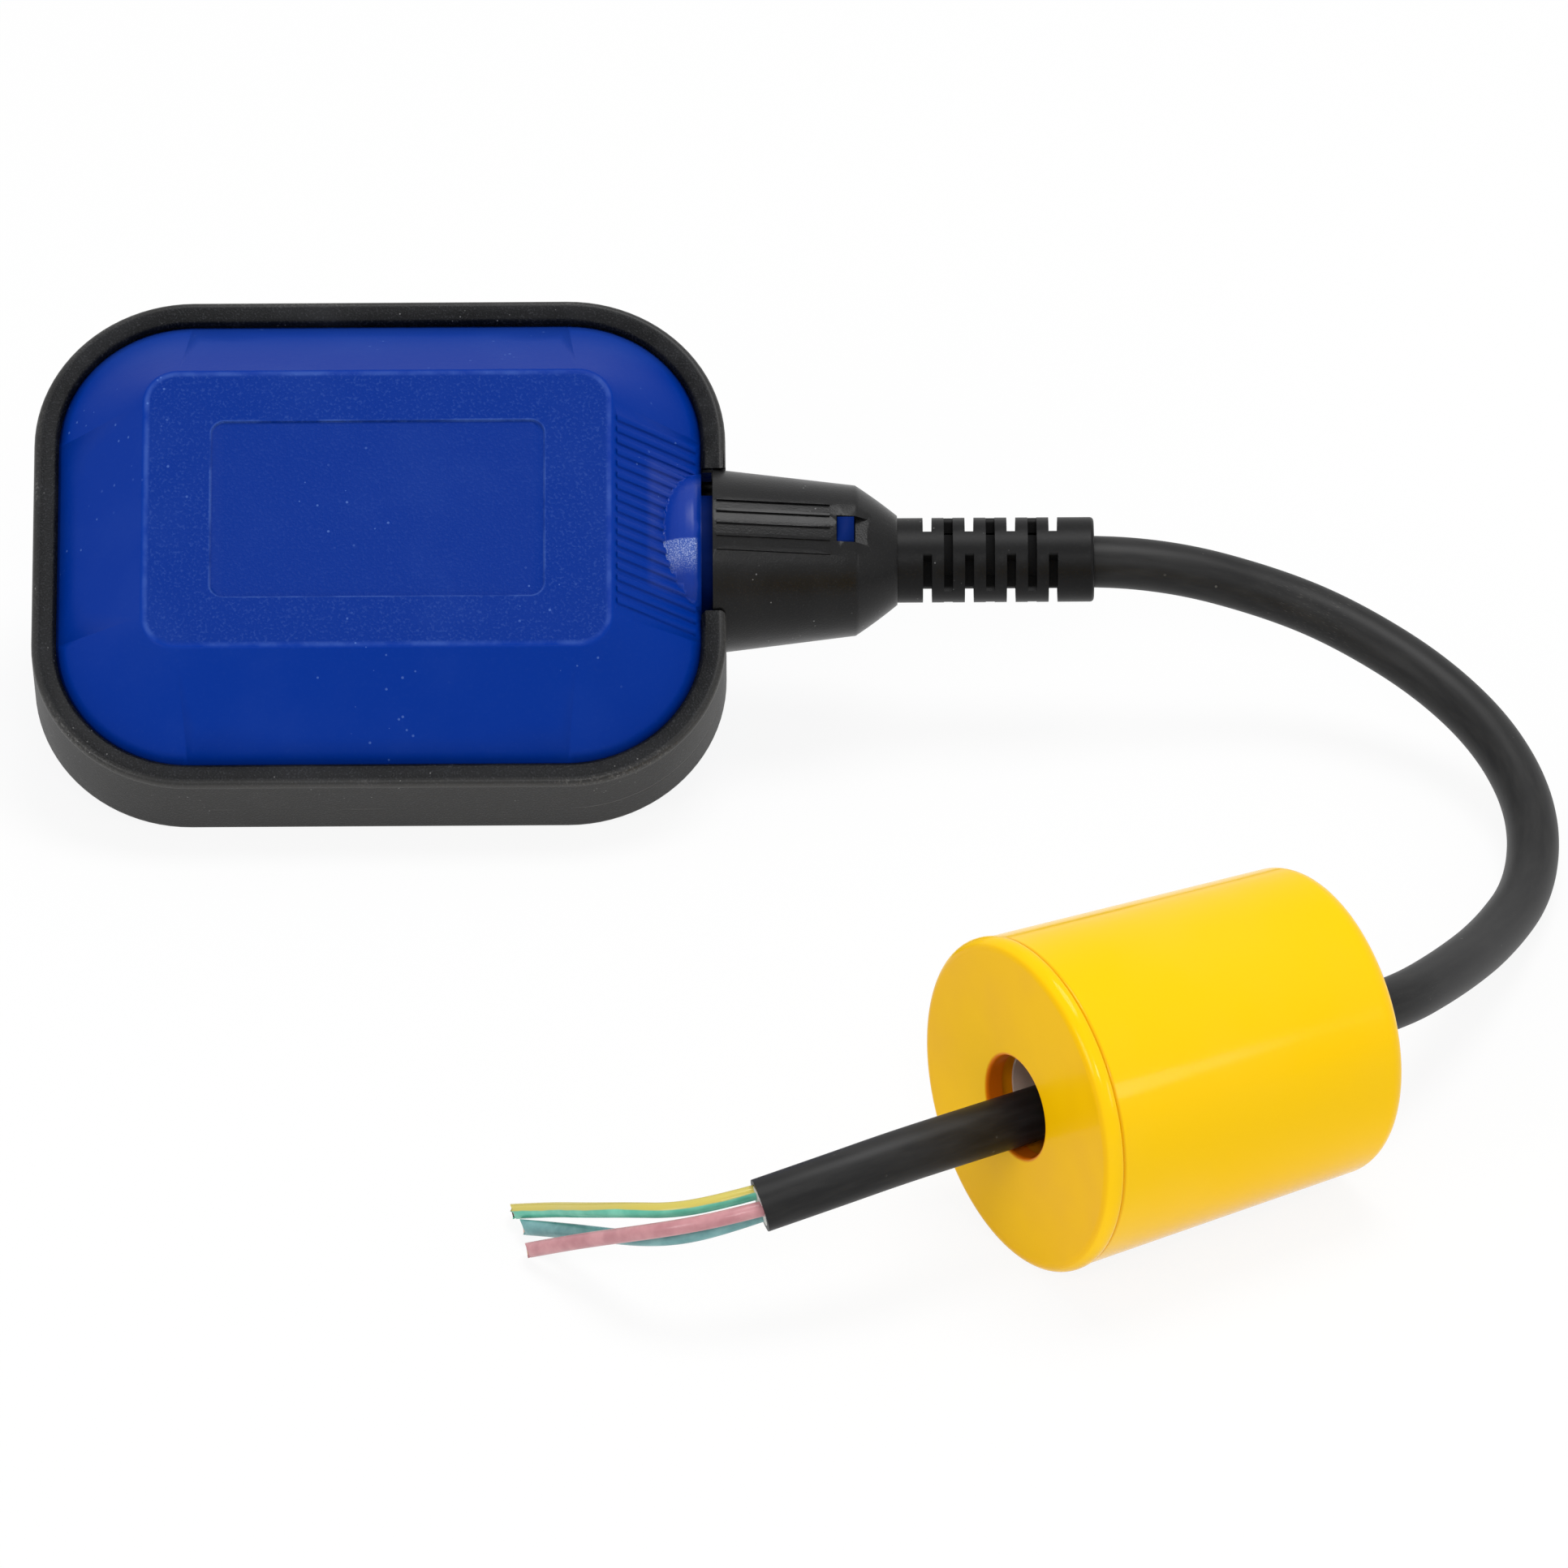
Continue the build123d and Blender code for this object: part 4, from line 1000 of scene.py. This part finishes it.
def smooth_copy(node, name, finish, soft_edge, sharp):
    """A copy of a solid with merged corners, softened edges and even shading."""
    solid = frame["nodes"][node]
    piece = bpy.data.objects.new(name, solid.data.copy())
    bpy.context.scene.collection.objects.link(piece)
    edit(piece)
    bpy.ops.mesh.select_all(action="SELECT")
    bpy.ops.mesh.remove_doubles(threshold=0.002 * MM)
    lay(piece, float_frame.inverted())
    edit(piece)
    if choose("VERT", near_window):
        bpy.ops.transform.resize(value=(1, WINDOW_NARROWING, 1), center_override=(0, 0, 0))
    lay(piece, float_frame)
    if soft_edge:
        bevel = piece.modifiers.new("soft_edge", "BEVEL")
        bevel.width = soft_edge
        bevel.segments = 2
        bevel.limit_method = "ANGLE"
        bevel.angle_limit = radians(45)
        bpy.ops.object.modifier_apply(modifier=bevel.name)
    even_shading(piece, sharp)
    wear(piece, finish)
    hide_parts(node)
    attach(piece, solid["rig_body"])
    return piece


# Each with its finish, the width of its softened edges, and the angle in degrees of a sharp edge
outside = {
    "top_shell": (blue, 0.0, 100),
    "bottom_shell": (blue, 0.0, 100),
    "rim_band": (band, 0.0, 40),
    "gland_collar": (neck, 0.12 * MM, 30),
}
for node, (finish, soft_edge, sharp) in outside.items():
    piece = smooth_copy(node, node + "_skin", finish, soft_edge, sharp)
    print(node, "faces:", len(piece.data.polygons))

# %% [markdown]
# ### What lies inside
# The capsule, the ball, the small switch and the leads show only when the float is opened. Their
# solids have the right shapes already, so they keep them and only get a finish.

# %% Inner pieces
inside = {
    "cable_seal": sleeve,
    "clamp_ring": inner_black,
    "capsule_base": white_nylon,
    "capsule_cover": white_nylon,
    "lead_grommet": sleeve,
    "steel_ball": steel,
    "switch_case": inner_black,
    "switch_cover": inner_black,
    "lever_pin": steel,
    "ball_lever": steel,
    "switch_plunger": white_nylon,
    "contact_blade": brass,
    "terminal_common": brass,
    "terminal_no": brass,
    "terminal_nc": brass,
    "lead_brown": brown_skin,
    "lead_blue": blue_skin,
    "lead_earth": earth_skin,
    "weight_core": iron,
}
for node, finish in inside.items():
    wear(frame["nodes"][node], finish)
print("dressed:", len(outside), "outside and", len(inside), "inside")

# %% [markdown]
# ## Floor and light
# The floor is plain and nearly white. A plain white floor would need strong lamps, and the object
# would then wash out, so most of its white comes from Light Path: the camera, and what reflects in
# the object, sees a flat white there. The rest is a matt floor that takes the object's shadow.

# %% Floor
def seen_directly(finish):
    """1 for rays from the camera, and for those that a gloss or clear surface sends on."""
    kinds = ["Is Camera Ray", "Is Glossy Ray", "Is Transmission Ray"]
    camera_ray, gloss_ray, clear_ray = [finish.add("ShaderNodeLightPath", {}, {}, kind) for kind in kinds]
    return camera_ray.high(gloss_ray).high(clear_ray)


bpy.ops.object.select_all(action="DESELECT")
bpy.ops.mesh.primitive_plane_add(size=12, location=(0, 2, 0))
floor = bpy.context.active_object
floor.name = "floor"
floor_finish = Finish("floor_white")
plain_white = floor_finish.add("ShaderNodeEmission", {}, {"Color": (1.0, 1.0, 1.0), "Strength": 1.0})
matt_floor = floor_finish.add("ShaderNodeBsdfDiffuse", {}, {"Color": (0.9, 0.9, 0.9)})
white_share = seen_directly(floor_finish) * 0.9
floor_look = floor_finish.add("ShaderNodeMixShader", {}, {0: white_share, 1: matt_floor, 2: plain_white})
floor_finish.join(floor_finish.tree.nodes["Material Output"].inputs["Surface"], floor_look)
wear(floor, floor_finish)
print("floor", floor.name)

# %% [markdown]
# ### Lamps and sky
# The photograph has soft light from all round, with a large lamp above, so most of the light is a
# plain white sky. Four round lamps add the soft highlights on the drum, the band and the cable.

# %% Lamps and sky
OBJECT_MIDDLE = (0.03, -0.08, 0.02)
WEIGHT_MIDDLE = (0.05, -0.12, 0.02)


def lamp(name, place, aim, size, watts):
    data = bpy.data.lights.new(name, "AREA")
    data.shape = "DISK"
    data.size = size
    data.energy = watts
    holder = bpy.data.objects.new(name, data)
    bpy.context.scene.collection.objects.link(holder)
    holder.location = place
    way = Vector(aim) - Vector(place)
    holder.rotation_euler = way.to_track_quat("-Z", "Y").to_euler()


class Sky(Finish):
    """A world's nodes take the same helpers as a material's."""

    def __init__(self, name):
        self.world = bpy.data.worlds.new(name)
        self.world.use_nodes = True
        self.tree = self.world.node_tree
        self.shader = self.tree.nodes["Background"]


sky = Sky("studio")
sky.put(Color=(1.0, 1.0, 1.0), Strength=0.5 + seen_directly(sky) * 0.4)
bpy.context.scene.world = sky.world
lamp("key", (0.25, 0.1, 1.5), OBJECT_MIDDLE, 0.8, 11.5)
lamp("front", (0.15, -1.35, 1.05), OBJECT_MIDDLE, 0.3, 3)
lamp("left", (-0.95, -1.1, 0.75), WEIGHT_MIDDLE, 0.6, 4.5)
lamp("right", (1.25, -0.8, 0.58), WEIGHT_MIDDLE, 0.4, 1.5)
bpy.context.scene.view_settings.view_transform = "Standard"
print("lamps:", [light.name for light in bpy.data.lights])
